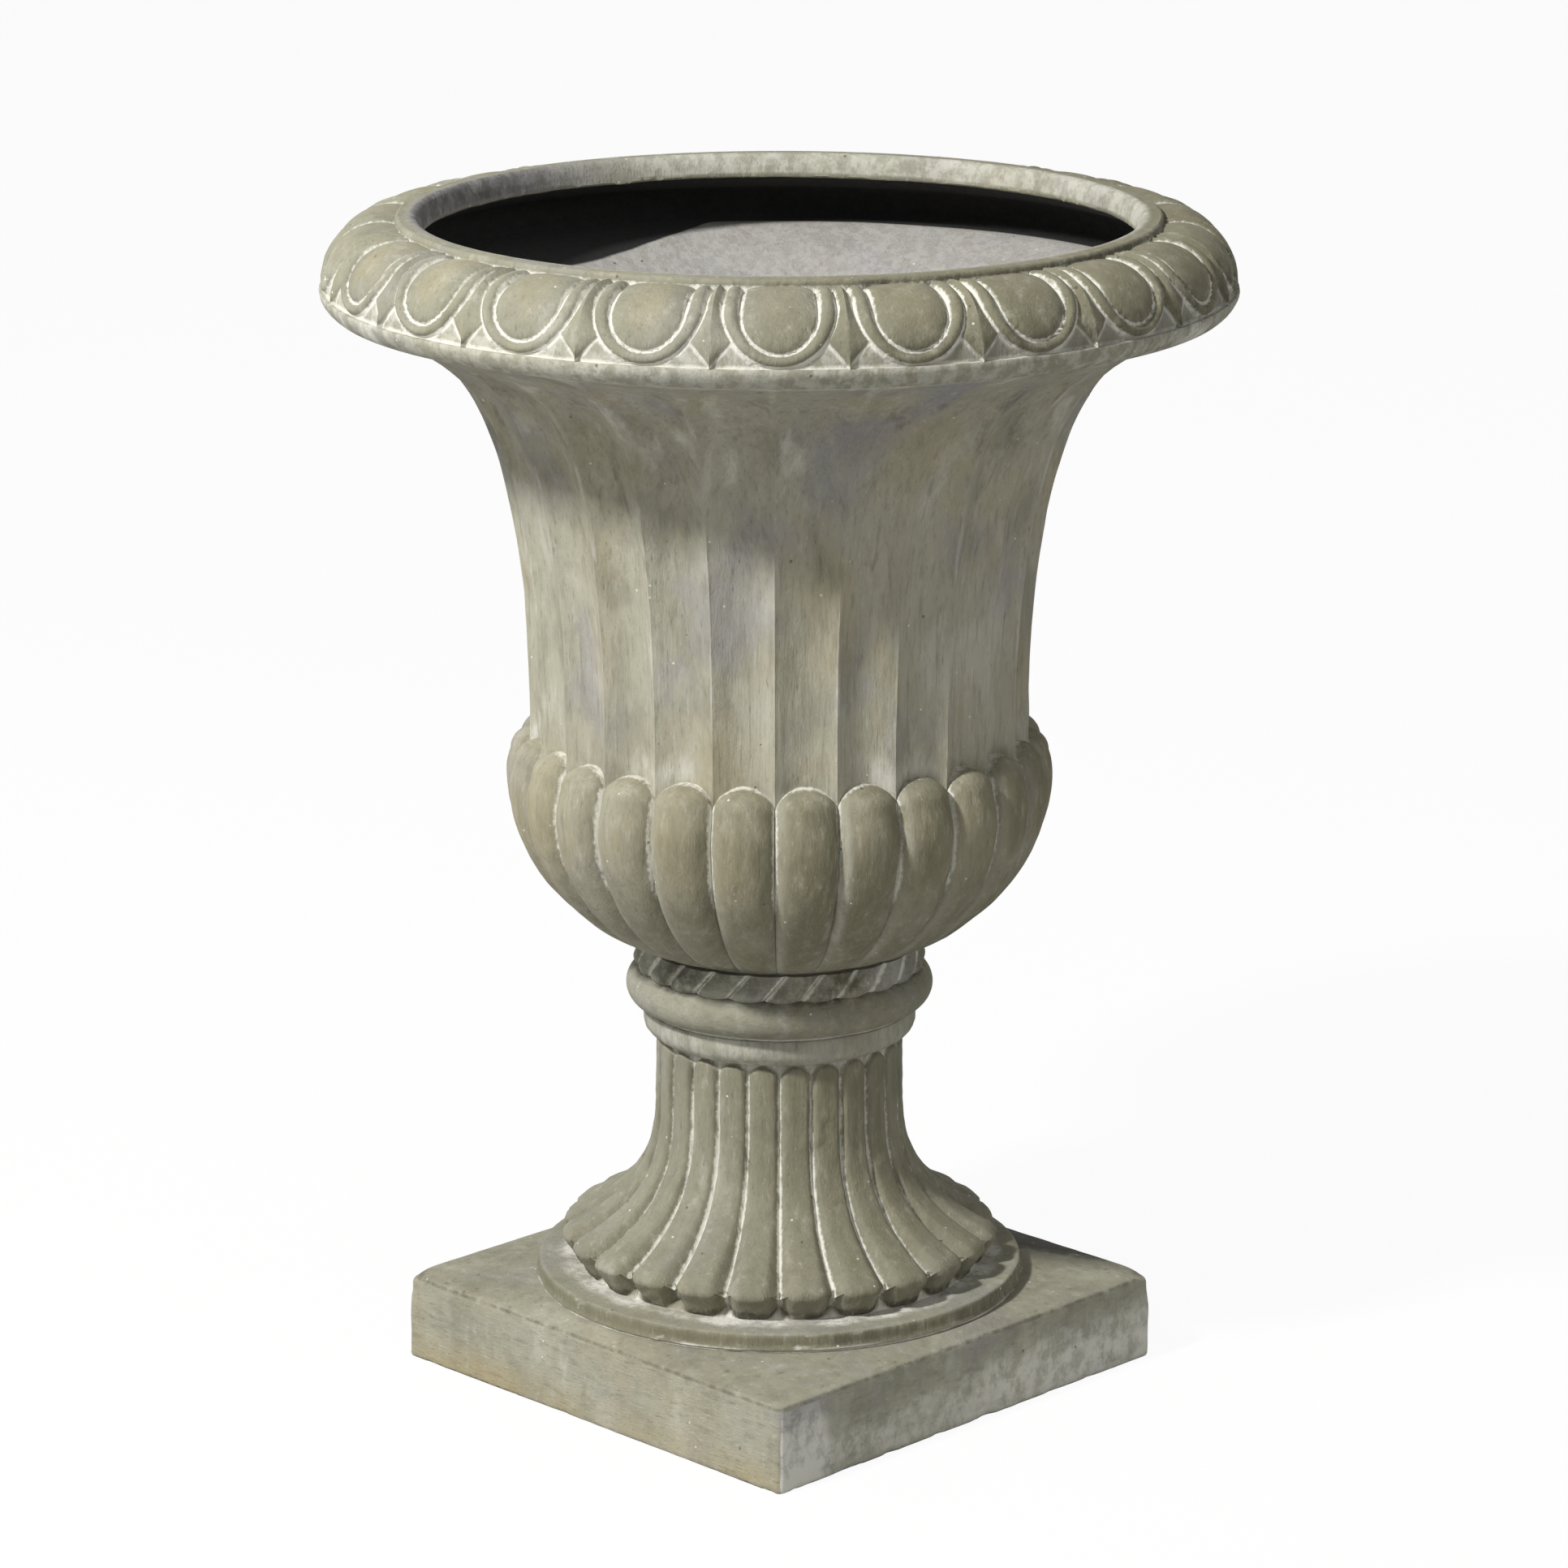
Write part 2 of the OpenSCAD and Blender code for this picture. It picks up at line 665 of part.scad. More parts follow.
module drain_plug() {
    stem_d = sleeve_bore - 2 * plug_clear;
    color("#2b2b2a")
    translate([drain_offset, 0, z_floor])
        union() {
            translate([0, 0, -plug_stem]) cylinder(d = stem_d, h = plug_stem + 1);
            cylinder(d = plug_head_d, h = plug_head_t);
            // Grip that a finger and thumb pull
            translate([0, 0, plug_head_t - 0.5]) cylinder(d = 9, h = 8.5);
            translate([0, 0, plug_head_t + 8]) sphere(d = 13);
        }
}

plinth();
plinth_bedding();
pedestal();
collar_bedding();
rope_collar();
bowl_bedding();
bowl();
rim_bedding();
rim();
rim_hoop();
tie_rod();
bowl_gasket();
bowl_washer();
bowl_nut();
base_washer();
base_nut();
drain_sleeve();
drain_plug();
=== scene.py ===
# %% [markdown]
# # A classical garden urn in cast stone
#
# The urn is five castings, one on top of the other: a square plinth, a reeded foot, a collar with a rope
# band, a bowl with lobes and flutes, and a rim with eggs and darts, held together by a tie rod. The frame
# gives every piece its place and its body. Blender adds what the eye sees: sharp carving, rough brushed
# stone, the pale wash in the grooves, and a plain studio.

# %% Load the frame
from math import cos, dist, pi, radians, sin, tau

import bpy
import numpy as np
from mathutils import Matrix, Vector
from mathutils.geometry import delaunay_2d_cdt


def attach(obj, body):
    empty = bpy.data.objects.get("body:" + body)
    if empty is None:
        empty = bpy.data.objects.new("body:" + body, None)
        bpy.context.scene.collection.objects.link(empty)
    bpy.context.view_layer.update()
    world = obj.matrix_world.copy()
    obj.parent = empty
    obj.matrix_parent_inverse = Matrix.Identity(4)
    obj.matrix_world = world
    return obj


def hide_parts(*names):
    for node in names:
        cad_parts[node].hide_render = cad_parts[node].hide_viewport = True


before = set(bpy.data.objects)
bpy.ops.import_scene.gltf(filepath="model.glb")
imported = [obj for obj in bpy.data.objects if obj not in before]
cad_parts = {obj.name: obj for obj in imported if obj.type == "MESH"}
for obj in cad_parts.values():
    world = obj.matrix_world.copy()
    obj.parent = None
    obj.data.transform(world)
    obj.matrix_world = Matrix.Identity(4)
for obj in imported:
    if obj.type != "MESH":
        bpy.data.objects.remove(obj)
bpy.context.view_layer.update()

# %% [markdown]
# ## Sizes
#
# A mould maker thinks in millimetres, so the shape functions do too, and one factor turns the finished
# points into metres. The levels are those of the castings in the frame, from the floor up.

# %% Shared sizes
MM = 0.001
FRONT = radians(-45)          # the plinth's corner, an egg and a groove of the foot face this way
BED = 1.5                          # mortar joint
Z_SEAT = 53.0
Z_PLATE = Z_SEAT + BED
Z_REEDS = Z_PLATE + 9
Z_FILLET = Z_REEDS + 132.5
Z_NECK_TOP = Z_FILLET + 16
Z_COLLAR = Z_NECK_TOP + BED
Z_ROPE = Z_COLLAR + 22
ROPE_H = 14.5
Z_COLLAR_TOP = Z_ROPE + ROPE_H
Z_BOWL = Z_COLLAR_TOP + BED
BELLY_H, NOTCH_H, ARCH_H, BELL_H = 94.0, 13.5, 13.0, 236.5
Z_BELLY = Z_BOWL + BELLY_H
Z_NOTCH = Z_BELLY + NOTCH_H
Z_LOBE_TOP = Z_NOTCH + ARCH_H
Z_BOWL_TOP = Z_LOBE_TOP + BELL_H
Z_RIM = Z_BOWL_TOP + BED
Z_OVOLO = Z_RIM + 13
Z_LIP = Z_RIM + 50
Z_FLOOR = Z_BOWL + 17
DRAIN_X = 47.5
NO_LINE = 9.0                      # a groove mask of so many mm is out of reach of any carved line

# %% [markdown]
# ## Small helpers
#
# Every casting is a ring whose section is a closed line, so its mesh is a grid that closes both ways:
# rows run round the section, columns round the urn. Arrays hold the radius and height of every point, so
# one formula carves the whole surface. A noise with a fixed table gives the unevenness of a hand-brushed
# mould, the same on every run.

# %% Helpers for shapes
def mix(a, b, t):
    return a + (b - a) * t


def ramp(low, high, x):
    """0 below low, 1 above high, and a soft step between them."""
    t = np.clip((x - low) / (high - low), 0, 1)
    return t * t * (3 - 2 * t)


def facing(angle, degrees):
    """1 where the angle faces so many degrees to the right of the camera's direction, -1 across from it."""
    return np.cos(angle - FRONT - radians(degrees))


def away_from_light(angle):
    """Painted shade: near 0 on the lit left, rising to 1 on the right, the side turned away from the key
    light.
    """
    return ramp(-1.1, 0.9, facing(angle, 60))


def peak(x, width):
    """1 where x is 0, falling off on both sides over the width."""
    return np.exp(-(x / width) ** 2)


NOISE_TABLE = np.random.default_rng(7).uniform(-1, 1, 4096)


def noise3(x, y, z):
    """Smooth value noise from -1 to 1, with one cell per unit."""
    cell = [np.floor(v).astype(np.int64) for v in (x, y, z)]
    part = [ramp(0, 1, v - np.floor(v)) for v in (x, y, z)]
    total = 0
    for corner in np.ndindex(2, 2, 2):
        i, j, k = (c + step for c, step in zip(cell, corner))
        a, b, c = (f if step else 1 - f for f, step in zip(part, corner))
        total = total + a * b * c * NOISE_TABLE[(i * 73 + j * 1579 + k * 433 + (i * j) % 89 * 11) % 4096]
    return total


def rough(x, y, z, size, octaves=3):
    """Noise whose largest bumps are size mm across."""
    total = 0
    for n in range(octaves):
        f = 2**n / size
        total = total + noise3(x * f + 17 * n + 500, y * f + 5 * n + 500, z * f + 500) / 2**n
    return total / 1.5


def new_object(name, data):
    obj = bpy.data.objects.new(name, data)
    bpy.context.scene.collection.objects.link(obj)
    return obj


def make_piece(name, points, faces, body, node, material, masks=None, sharp=50):
    """A mesh piece from points in mm, which stands for a node of the frame and moves with its body."""
    mesh = bpy.data.meshes.new(name)
    mesh.from_pydata((np.asarray(points) * MM).tolist(), [], [tuple(f) for f in faces])
    mesh.validate()
    for mask, values in (masks or {}).items():
        attribute = mesh.attributes.new(mask, "FLOAT", "POINT")
        attribute.data.foreach_set("value", np.asarray(values, np.float32).ravel())
    mesh.materials.append(material)
    obj = new_object(name, mesh)
    mesh.shade_smooth()
    mesh.set_sharp_from_angle(angle=radians(sharp))
    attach(obj, body)
    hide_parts(node)
    print(name, len(mesh.vertices), "points", [round(d / MM, 1) for d in obj.dimensions], "mm")


def grid_faces(rows, cols, close_rows=True):
    """Quads of a grid that closes round the columns, and round the rows too if asked."""
    i, j = np.meshgrid(np.arange(rows if close_rows else rows - 1), np.arange(cols), indexing="ij")
    up, side = (i + 1) % rows, (j + 1) % cols
    quads = np.stack([i * cols + j, i * cols + side, up * cols + side, up * cols + j], -1)
    return quads.reshape(-1, 4).tolist()


def spin(line, columns):
    """Radius and height, as two grids, of a section line that is turned into so many columns."""
    line = np.asarray(line, float)
    return [np.repeat(line[:, k:k + 1], columns, 1) for k in (0, 1)]


def flat_place(radius, angle):
    return radius * np.cos(angle), radius * np.sin(angle)


def bumps_over(radius, height, angle):
    """The noise at a grid's points, as a function of size in mm, octaves and squeeze in height."""
    x, y = flat_place(radius, angle)
    return lambda size, octaves=3, squeeze=1: rough(x, y, height * squeeze, size, octaves)


def ring_points(radius, height, angle):
    return np.stack([*flat_place(radius, angle), height + 0 * angle], -1).reshape(-1, 3)


def cast_ring(name, node, material, radius, height, angle, masks):
    """A stone casting whose section is one closed line all round."""
    points = ring_points(radius, height, angle)
    make_piece(name, points, grid_faces(*radius.shape), "urn", node, material, masks)


def above(level, *corners):
    """Corners of a section, their heights counted from a level."""
    return [(r, level + h) for r, h in corners]


def joined(*parts):
    """One section line from its parts, and for every point the number of its part."""
    return np.vstack(parts), np.repeat(np.arange(len(parts)), [len(part) for part in parts])[:, None]


def resample(line, step):
    """Points every step mm along a line of (radius, height) corners, the corners included."""
    out = []
    for a, b in zip(line, line[1:]):
        n = max(1, round(dist(a, b) / step))
        out += [(mix(a[0], b[0], i / n), mix(a[1], b[1], i / n)) for i in range(n)]
    return out + [line[-1]]


def arc(centre, radius, start, end, step):
    """Points of an arc of a section, angles in degrees from outward, about step mm apart."""
    n = max(2, round(abs(radians(end - start)) * radius / step))
    turns = [radians(mix(start, end, i / n)) for i in range(n + 1)]
    return [(centre[0] + radius * cos(a), centre[1] + radius * sin(a)) for a in turns]


def section_normals(line):
    """Outward normals of a section line that runs upwards on its outer side."""
    along = np.gradient(line, axis=0)
    length = np.maximum(np.hypot(along[:, 0], along[:, 1]), 1e-9)
    return np.stack([along[:, 1] / length, -along[:, 0] / length], -1)

# %% [markdown]
# ## Materials: aged cast stone
#
# Cast stone is cement and fine crushed rock, poured into a rubber mould. This urn was brushed with a thin
# pale lime wash and wiped, so the wash stays in the grooves and the khaki-grey body shows on the high
# parts, with warm and cool patches where the stain took unevenly. The surface is dead matt, with an index
# of refraction near 1.5. The shapes write masks on the mesh, so the colour follows the carving from every
# side, and noise at real scales breaks the masks up.
# Some masks also paint shade and light into the colour: near-black where the lip's shadow falls, and darker
# or paler flanks and sides where the key light falls away or strikes.

# %% Colour and node helpers
def srgb(code, alpha=1.0):
    """A hex colour as Blender's linear RGBA."""
    channels = [int(code[i:i + 2], 16) / 255 for i in (1, 3, 5)]
    return [c / 12.92 if c <= 0.04045 else ((c + 0.055) / 1.055) ** 2.4 for c in channels] + [alpha]


def add_node(tree, kind, settings=None):
    """Adds a node and sets its properties and sockets; a socket that is given an output is linked to it."""
    node = tree.nodes.new("ShaderNode" + kind)
    for key, value in (settings or {}).items():
        if isinstance(value, bpy.types.NodeSocket):
            tree.links.new(value, node.inputs[key])
        elif isinstance(key, str) and hasattr(node, key):
            setattr(node, key, value)
        else:
            node.inputs[key].default_value = value
    return node


def new_material(name):
    """A material with its tree, its shader, and the place on the piece in metres."""
    material = bpy.data.materials.new(name)
    material.use_nodes = True
    tree = material.node_tree
    tree.nodes.clear()
    shader = add_node(tree, "BsdfPrincipled")
    add_node(tree, "OutputMaterial", {"Surface": shader.outputs["BSDF"]})
    return material, tree, shader, add_node(tree, "TexCoord").outputs["Object"]


# The next five take outputs, and add their nodes to the tree of the first
def noise(place, size, detail, roughness, offset=0.0):
    """Noise with cells of size mm: one number, or one each for x, y and z."""
    size = size if isinstance(size, tuple) else (size,) * 3
    vector = place
    for operation, by in (("MULTIPLY", [1000 / v for v in size]), ("ADD", (offset, offset * 1.7, -offset))):
        vector = add_node(place.id_data, "VectorMath", {"operation": operation, 0: vector, 1: by}).outputs[0]
    settings = {"Vector": vector, "Scale": 1.0, "Detail": detail, "Roughness": roughness}
    return add_node(place.id_data, "TexNoise", settings).outputs["Fac"]


def stepped(value, low, high, out_low=0.0, out_high=1.0):
    return add_node(value.id_data, "MapRange", {
        "interpolation_type": "SMOOTHSTEP", "Value": value, "From Min": low, "From Max": high,
        "To Min": out_low, "To Max": out_high}).outputs["Result"]


def maths(operation, *values):
    return add_node(values[0].id_data, "Math", {"operation": operation, **dict(enumerate(values))}).outputs[0]


def blended(under, over, amount):
    """Colour over laid on colour under by amount; either colour is an output or a hex code."""
    under, over = (srgb(c) if isinstance(c, str) else c for c in (under, over))
    settings = {"data_type": "RGBA", "Factor": amount, 6: under, 7: over}
    return add_node(amount.id_data, "Mix", settings).outputs[2]


def surface(shader, colour, roughness, height, strength, depth_mm):
    """Wires a shader: its colour, its roughness, and a bump of the height that is depth_mm deep."""
    tree = shader.id_data
    bump = add_node(tree, "Bump", {"Strength": strength, "Distance": depth_mm * MM, "Height": height})
    wires = {"Base Color": colour, "Roughness": roughness, "Normal": bump.outputs["Normal"]}
    for socket, output in wires.items():
        tree.links.new(output, shader.inputs[socket])


# %% Aged cast stone
# The near-black is painted shadow; the grime, stain and cool tints also serve as painted shade, and the wash
# as painted light
STONE = {"dark": "#6e6c5d", "warm": "#a49878", "cool_and_shade": "#8f8c93", "wash_and_light": "#dddbd0", "grime_and_shade": "#4a473c",
         "stain_and_shade": "#736f58", "painted_shadow": "#090908"}


def cast_stone(name, body, patchy, streak_mm=(3, 3, 40), scratch_mm=(1.2, 1.2, 12), mottle_mm=(8, 8, 10)):
    """Aged cast stone. The mesh gives areas of wash, warm, cool, stain, grime and near-black painted shadow,
    and groove, the distance in mm from the nearest carved line, which keeps the lines sharp between the
    mesh's points. The wash areas also hold painted light, and the cool, stain and grime areas painted shade."""
    material, tree, shader, place = new_material(name)
    area = {m: add_node(tree, "Attribute", {"attribute_name": m}).outputs["Fac"]
            for m in ("wash_and_light", "warm", "cool_and_shade", "stain_and_shade", "grime_and_shade", "painted_shadow", "groove")}
    colour = body

    def lay(tint, amount, *span):
        """Lays a tint on the colour by the amount, or by its soft step over the span, up to the share."""
        nonlocal colour
        if span:
            low, high, share = span
            amount = stepped(amount, low, high, 0, share)
        colour = blended(colour, STONE[tint], amount)

    def broken(mask, weakest, strongest):
        """A mask that the mottle breaks up."""
        return maths("MULTIPLY", area[mask], stepped(mottle, 0.3, 0.62, weakest, strongest))

    mottle = noise(place, mottle_mm, 6, 0.7, 21)
    fine = noise(place, (2.4, 2.4, 3), 3, 0.6, 14)
    # Stain patches: cool ones about 70 mm across, warm ones about 45 mm
    lay("cool_and_shade", noise(place, (70, 70, 95), 4, 0.6), 0.5, 0.64, 0.55 * patchy)
    lay("warm", noise(place, (45, 45, 80), 4, 0.6, 9), 0.5, 0.68, 0.5 * patchy)
    # Smudges where the stain was wiped less, about 30 mm wide and twice as long
    smudge = noise(place, (30, 30, 65), 4, 0.62, 41)
    lay("dark", smudge, 0.5, 0.66, 0.36)
    lay("wash_and_light", smudge, 0.46, 0.3, 0.22)
    # The warm, cool and stain areas of the mesh; the cool and stain areas also hold painted shade
    for tint in ("warm", "cool_and_shade", "stain_and_shade"):
        lay(tint, maths("MULTIPLY", area[tint], stepped(mottle, 0.25, 0.7, 0.75, 1.2)))
    # Brush marks run down the urn, narrow across and long in height, over finer scratches
    streaks = noise(place, streak_mm, 5, 0.65, 3)
    scratches = noise(place, scratch_mm, 4, 0.7, 31)
    for layer in (("dark", streaks, 0.5, 0.72, 0.42), ("dark", mottle, 0.52, 0.74, 0.3),
                  ("grime_and_shade", scratches, 0.58, 0.72, 0.5), ("wash_and_light", scratches, 0.4, 0.27, 0.28),
                  ("wash_and_light", mottle, 0.46, 0.24, 0.2)):
        lay(*layer)
    # Wash areas, which also hold painted light, are broken by the mottle; wash lines lie in the grooves and
    # break where the brush skipped
    lay("wash_and_light", broken("wash_and_light", 0.6, 1.3), 0.2, 0.85, 0.9)
    away = maths("ADD", maths("ABSOLUTE", area["groove"]), maths("MULTIPLY_ADD", fine, 1.5, -0.75))
    lay("wash_and_light", maths("MULTIPLY", stepped(away, 1.25, 0.5, 0, 0.95), stepped(mottle, 0.66, 0.5, 0.25, 1)))
    # Grime areas, which also hold painted shade, are broken by the mottle too
    lay("grime_and_shade", broken("grime_and_shade", 0.5, 1.4), 0.2, 0.9, 0.85)
    # Pits of burst air bubbles, about 1.5 mm wide, and specks of bare white lime
    cells = add_node(tree, "VectorMath", {"operation": "MULTIPLY", 0: place, 1: [1000 / 21] * 3}).outputs[0]
    pits, specks = (add_node(tree, "TexVoronoi", {"Vector": cells, "Scale": s}).outputs["Distance"]
                    for s in (1.0, 1.37))
    pit = stepped(pits, 0.05, 0.03)
    lay("grime_and_shade", maths("MULTIPLY", pit, 0.6))
    lay("wash_and_light", maths("MULTIPLY", stepped(specks, 0.052, 0.035), 0.8))
    # Painted shadow: near-black where the mesh marks the shade of the lip and of the urn
    lay("painted_shadow", area["painted_shadow"], 0.4, 0.6, 1)
    # Relief too fine for the mesh: brush marks, scratches, sand grain of about 1 mm and the pits
    height = maths("MULTIPLY", streaks, 0.45)
    for value, share in ((scratches, -0.4), (noise(place, 1.4, 3, 0.6, 5), 0.2), (mottle, 0.5), (fine, 0.25),
                         (pit, -0.6)):
        height = maths("ADD", height, maths("MULTIPLY", value, share))
    shader.inputs["IOR"].default_value = 1.5
    surface(shader, colour, stepped(mottle, 0.3, 0.7, 0.84, 0.96), height, 0.8, 1.2)
    return material


rim_stone = cast_stone("cast_stone_rim", "#918f7c", 0.35, (2.6, 2.6, 9), (1.2, 1.2, 7))
bowl_stone = cast_stone("cast_stone_bowl", "#a5a290", 0.8, mottle_mm=(6, 6, 20))
collar_stone = cast_stone("cast_stone_collar", "#989686", 0.6, (7, 7, 3), (3, 3, 1.2))
foot_stone = cast_stone("cast_stone_foot", "#918f7d", 0.4, mottle_mm=(6, 6, 16))
plinth_stone = cast_stone("cast_stone_plinth", "#9f9d8b", 0.6, (16, 16, 5), (7, 7, 1.1))
print("stone materials", [m.name for m in bpy.data.materials])

# %% [markdown]
# ## The rim: eggs and darts
#
# The rim is the richest casting: a plain lip, a quarter-round carved with twenty-two eggs and darts, a
# narrow ledge and a smooth band. Each egg is a flat shield inside a raised border, with a pale groove
# between, and a ridged dart fills the gap to the next egg. A formula over the grid is exact and repeats
# without seams: the height depends only on the distance from the egg's centre. The columns crowd where
# the relief is steep.

# %% Egg and dart relief
EGGS = 22
OVOLO = (216.0, Z_OVOLO - 2)
OVOLO_R = 30.5
OVOLO_TALL = 32.5                  # the quarter-round is a little taller than it is deep
OVOLO_END = 103                    # degrees: it runs on a little over its top
SHIELD_R, GROOVE_R, BORDER_R = 18.8, 20.5, 28.6
SHIELD_Y, BORDER_Y = 26.4, 29.4     # centres of the round ends, up the quarter-round from the ledge


def egg_relief(b, t):
    """Height in mm over the quarter-round, the pale and warm areas, and the distance from the carved lines;
    b is the angle in the section, and t runs from -1 to 1 across one egg."""
    half = pi * (OVOLO[0] + OVOLO_R * np.cos(b)) / EGGS
    x, y = np.abs(t) * half, (OVOLO_R + OVOLO_TALL) / 2 * b
    width = np.minimum(BORDER_R, 0.86 * half)
    x_round = x * BORDER_R / width
    d = np.hypot(x_round, np.maximum(0, SHIELD_Y - y))
    d_out = np.hypot(x_round, np.maximum(0, BORDER_Y - y))
    shield = 0.5 + 2.4 * np.sqrt(np.clip(1 - (d / SHIELD_R) ** 3, 0, 1))
    # Across the border, from -1 at the groove to 1 at its outer foot; it is thinner below than at the sides
    inward, outward = d - GROOVE_R, BORDER_R - d_out
    across = (inward - outward) / np.maximum(np.abs(inward) + np.abs(outward), 0.01)
    border = 2.9 * np.sqrt(np.clip(1 - across**2, 0, 1))
    # The dart: its barbs fill the space between two borders, and its point comes down to the ledge
    edge = np.sqrt(np.clip(BORDER_R**2 - np.maximum(0, BORDER_Y - y) ** 2, 0, None)) * width / BORDER_R
    dart_w = np.maximum(np.minimum(half - edge - 0.9, 0.9 * (y - 1.2)), 0.01)
    u = half - x
    dart = 2.9 * np.clip(1 - u / dart_w, 0, 1) ** 0.8
    height = np.select([d < SHIELD_R, d < GROOVE_R, d_out < BORDER_R], [shield, 0.0, border], 0.0)
    height = np.where((d_out >= BORDER_R) & (u < dart_w), 0.3 + dart, height) * mix(1, 1.3, ramp(14, 34, y))
    gap = np.minimum(d_out - BORDER_R, u - dart_w)
    ground = ramp(-0.5, 0.5, gap) * mix(0.95, 0.42, ramp(0.7, 2.6, gap)) * ramp(32, 26, y)
    # Two lines, at the groove and at the border's outer foot: the value passes through 0 at each. Where the
    # carving lies flatter, near the lip, the brush left broader lines
    lines = np.minimum(d - (SHIELD_R + GROOVE_R) / 2, 1.25 * (BORDER_R + 0.4 - d_out))
    lines *= mix(1, 0.5, ramp(16, 36, y))
    return height, np.maximum(ground, 0.9 * ramp(1.7, 0.6, y)), ramp(14, 5, d), lines


# %% Rim section
def rim_section(turns):
    band = [(250 - 7 * (1 - s) ** 2, mix(Z_RIM, OVOLO[1] - 0.8, s)) for s in (0, 0.15, 0.3, 0.5, 0.75, 1)]
    below = band + [(249.3, OVOLO[1]), (247.6, OVOLO[1])]
    ovolo = [(OVOLO[0] + OVOLO_R * cos(a), OVOLO[1] + OVOLO_TALL * sin(a)) for a in turns]
    lip = above(Z_LIP, (208.5, -6.4), (208.5, -3.4)) + arc((205, Z_LIP - 3.4), 3.4, 20, 90, 1.2)
    lip += [(202, Z_LIP)] + arc((200, Z_LIP - 5), 5, 100, 165, 1.8)
    inner = resample(above(Z_LIP, (194, -6), (193, -12.5)), 2.2) + [(194.5, Z_LIP - 14)]
    inner += resample(above(Z_LIP, (199, -16), (212, -21.5)), 6) + arc(OVOLO, 16.5, 70, 0, 5)
    inner += [(231, Z_OVOLO - 3), (226.5, Z_OVOLO - 9), (226.5, Z_RIM), (235, Z_RIM)]
    return below, ovolo, lip + inner


def egg_columns():
    steps = ((0, 0.5, 6), (0.5, 0.66, 7), (0.66, 0.8, 5))
    half = np.concatenate([np.linspace(*s, False) for s in steps] + [np.linspace(0.8, 1, 9)])
    one = np.concatenate([-half[:0:-1], half[:-1]])
    t = np.tile(one, EGGS)
    return t, FRONT + (np.repeat(np.arange(EGGS), len(one)) + t / 2) * tau / EGGS


b = np.radians(np.linspace(0, OVOLO_END, 57))[:, None]
below, ovolo, rest = rim_section(b[:, 0])
line = np.array(below + ovolo + rest)
t, angle = egg_columns()
carved = slice(len(below), len(below) + len(ovolo))
relief, wash_eggs, warm_eggs, groove_eggs = egg_relief(b, t[None, :])
radius, height = spin(line, len(angle))
radius[carved] += relief * np.cos(b)
height[carved] += relief * np.sin(b)

# %% Rim, roughened by hand work
bumps = bumps_over(radius, height, angle)
uneven = bumps(26) * 0.35 + bumps(6, 2) * 0.22
edge_fade = ramp(0, 6, height - Z_RIM) * ramp(0, 4, Z_LIP - height)
radius += (uneven - 0.45) * section_normals(line)[:, :1] * np.maximum(edge_fade, 0.25)
lip_top = np.abs(line[:, 1:] - Z_LIP) < 0.05
height += np.where(lip_top, np.minimum(uneven - 0.5, 0), 0)
wash_and_light, warm = np.zeros_like(radius), np.zeros_like(radius)
wash_and_light[carved], warm[carved] = wash_eggs, warm_eggs * (0.3 + 0.25 * bumps(60, 1)[carved])
junction = np.arange(len(line))[:, None] - carved.stop
seam = np.minimum(np.abs(junction), 8) * 1.0
groove = np.where(junction >= 0, seam, NO_LINE) * np.ones_like(radius)
groove[carved] = np.sign(groove_eggs) * np.minimum(np.abs(groove_eggs), seam[carved])
band_wash = np.where(np.arange(len(line)) < len(below), 0.4, 0.12)[:, None]
wash_and_light = np.maximum(wash_and_light, (band_wash + 0.4 * ramp(0.3, 1.0, bumps(34))) * ramp(236, 240, radius))
lip_face = (junction >= 0) * ramp(203, 198.5, radius) * ramp(Z_LIP - 14, Z_LIP - 10, height)
# Painted light and shade: the lip's inner face is painted dark and purplish on the left, turned away from the
# key light, and paler across from it, where the light falls
painted_lee_shade = ramp(0.55, 0.98, facing(angle, -105))
wash_and_light = np.maximum(wash_and_light, lip_face * (1 - painted_lee_shade) * (0.42 + 0.03 * bumps(20)))
cool_and_shade = lip_face * painted_lee_shade * 0.8
# Painted shade on the right, away from the key light: the lip's outer edge and the eggs are darker there,
# their lower halves most
shaded_right_side = ramp(-0.3, 0.8, facing(angle, 75))
lip_edge = (junction >= 0) * ramp(203.5, 206.5, radius) * ramp(Z_LIP - 0.2, Z_LIP - 1.6, height)
grime_and_shade = np.clip(0.5 * lip_face * painted_lee_shade + 0.6 * lip_edge * shaded_right_side * (1 + 0.5 * bumps(18)), 0, 1)
stain_and_shade = 0.35 * ramp(0.1, 0.9, bumps(40)) * (1 - lip_face)
stain_and_shade = np.maximum(stain_and_shade, 0.75 * shaded_right_side * (1 - lip_face) * (1 + 0.3 * bumps(30)))
lower_egg_shade = shaded_right_side * ramp(radians(62), radians(8), b)
grime_and_shade[carved] = np.maximum(grime_and_shade[carved], 0.42 * lower_egg_shade * (1 + 0.5 * bumps(14)[carved]))
# Crumbs left on the lower edge of the lip, where the mould's parting line was knocked off
crumbs = np.maximum(bumps(5, 2) - 0.25, 0) * 3.5 + 0.9 * bumps(30)
height -= crumbs * peak(height - (Z_LIP - 12.5), 1.6) * (radius < 197)
# Painted shadow: the hollow under the lip, in the lip's shade, is painted near-black
undercut = (junction > 12) & (junction < len(rest) - 1)
painted_shadow = undercut * ramp(Z_LIP - 12.5, Z_LIP - 15, height + 0.5 * bumps(30))
cast_ring("rim_carving", "rim", rim_stone, radius, height, angle, dict(
    wash_and_light=wash_and_light, warm=warm, cool_and_shade=cool_and_shade, stain_and_shade=stain_and_shade, grime_and_shade=grime_and_shade, painted_shadow=painted_shadow, groove=groove))

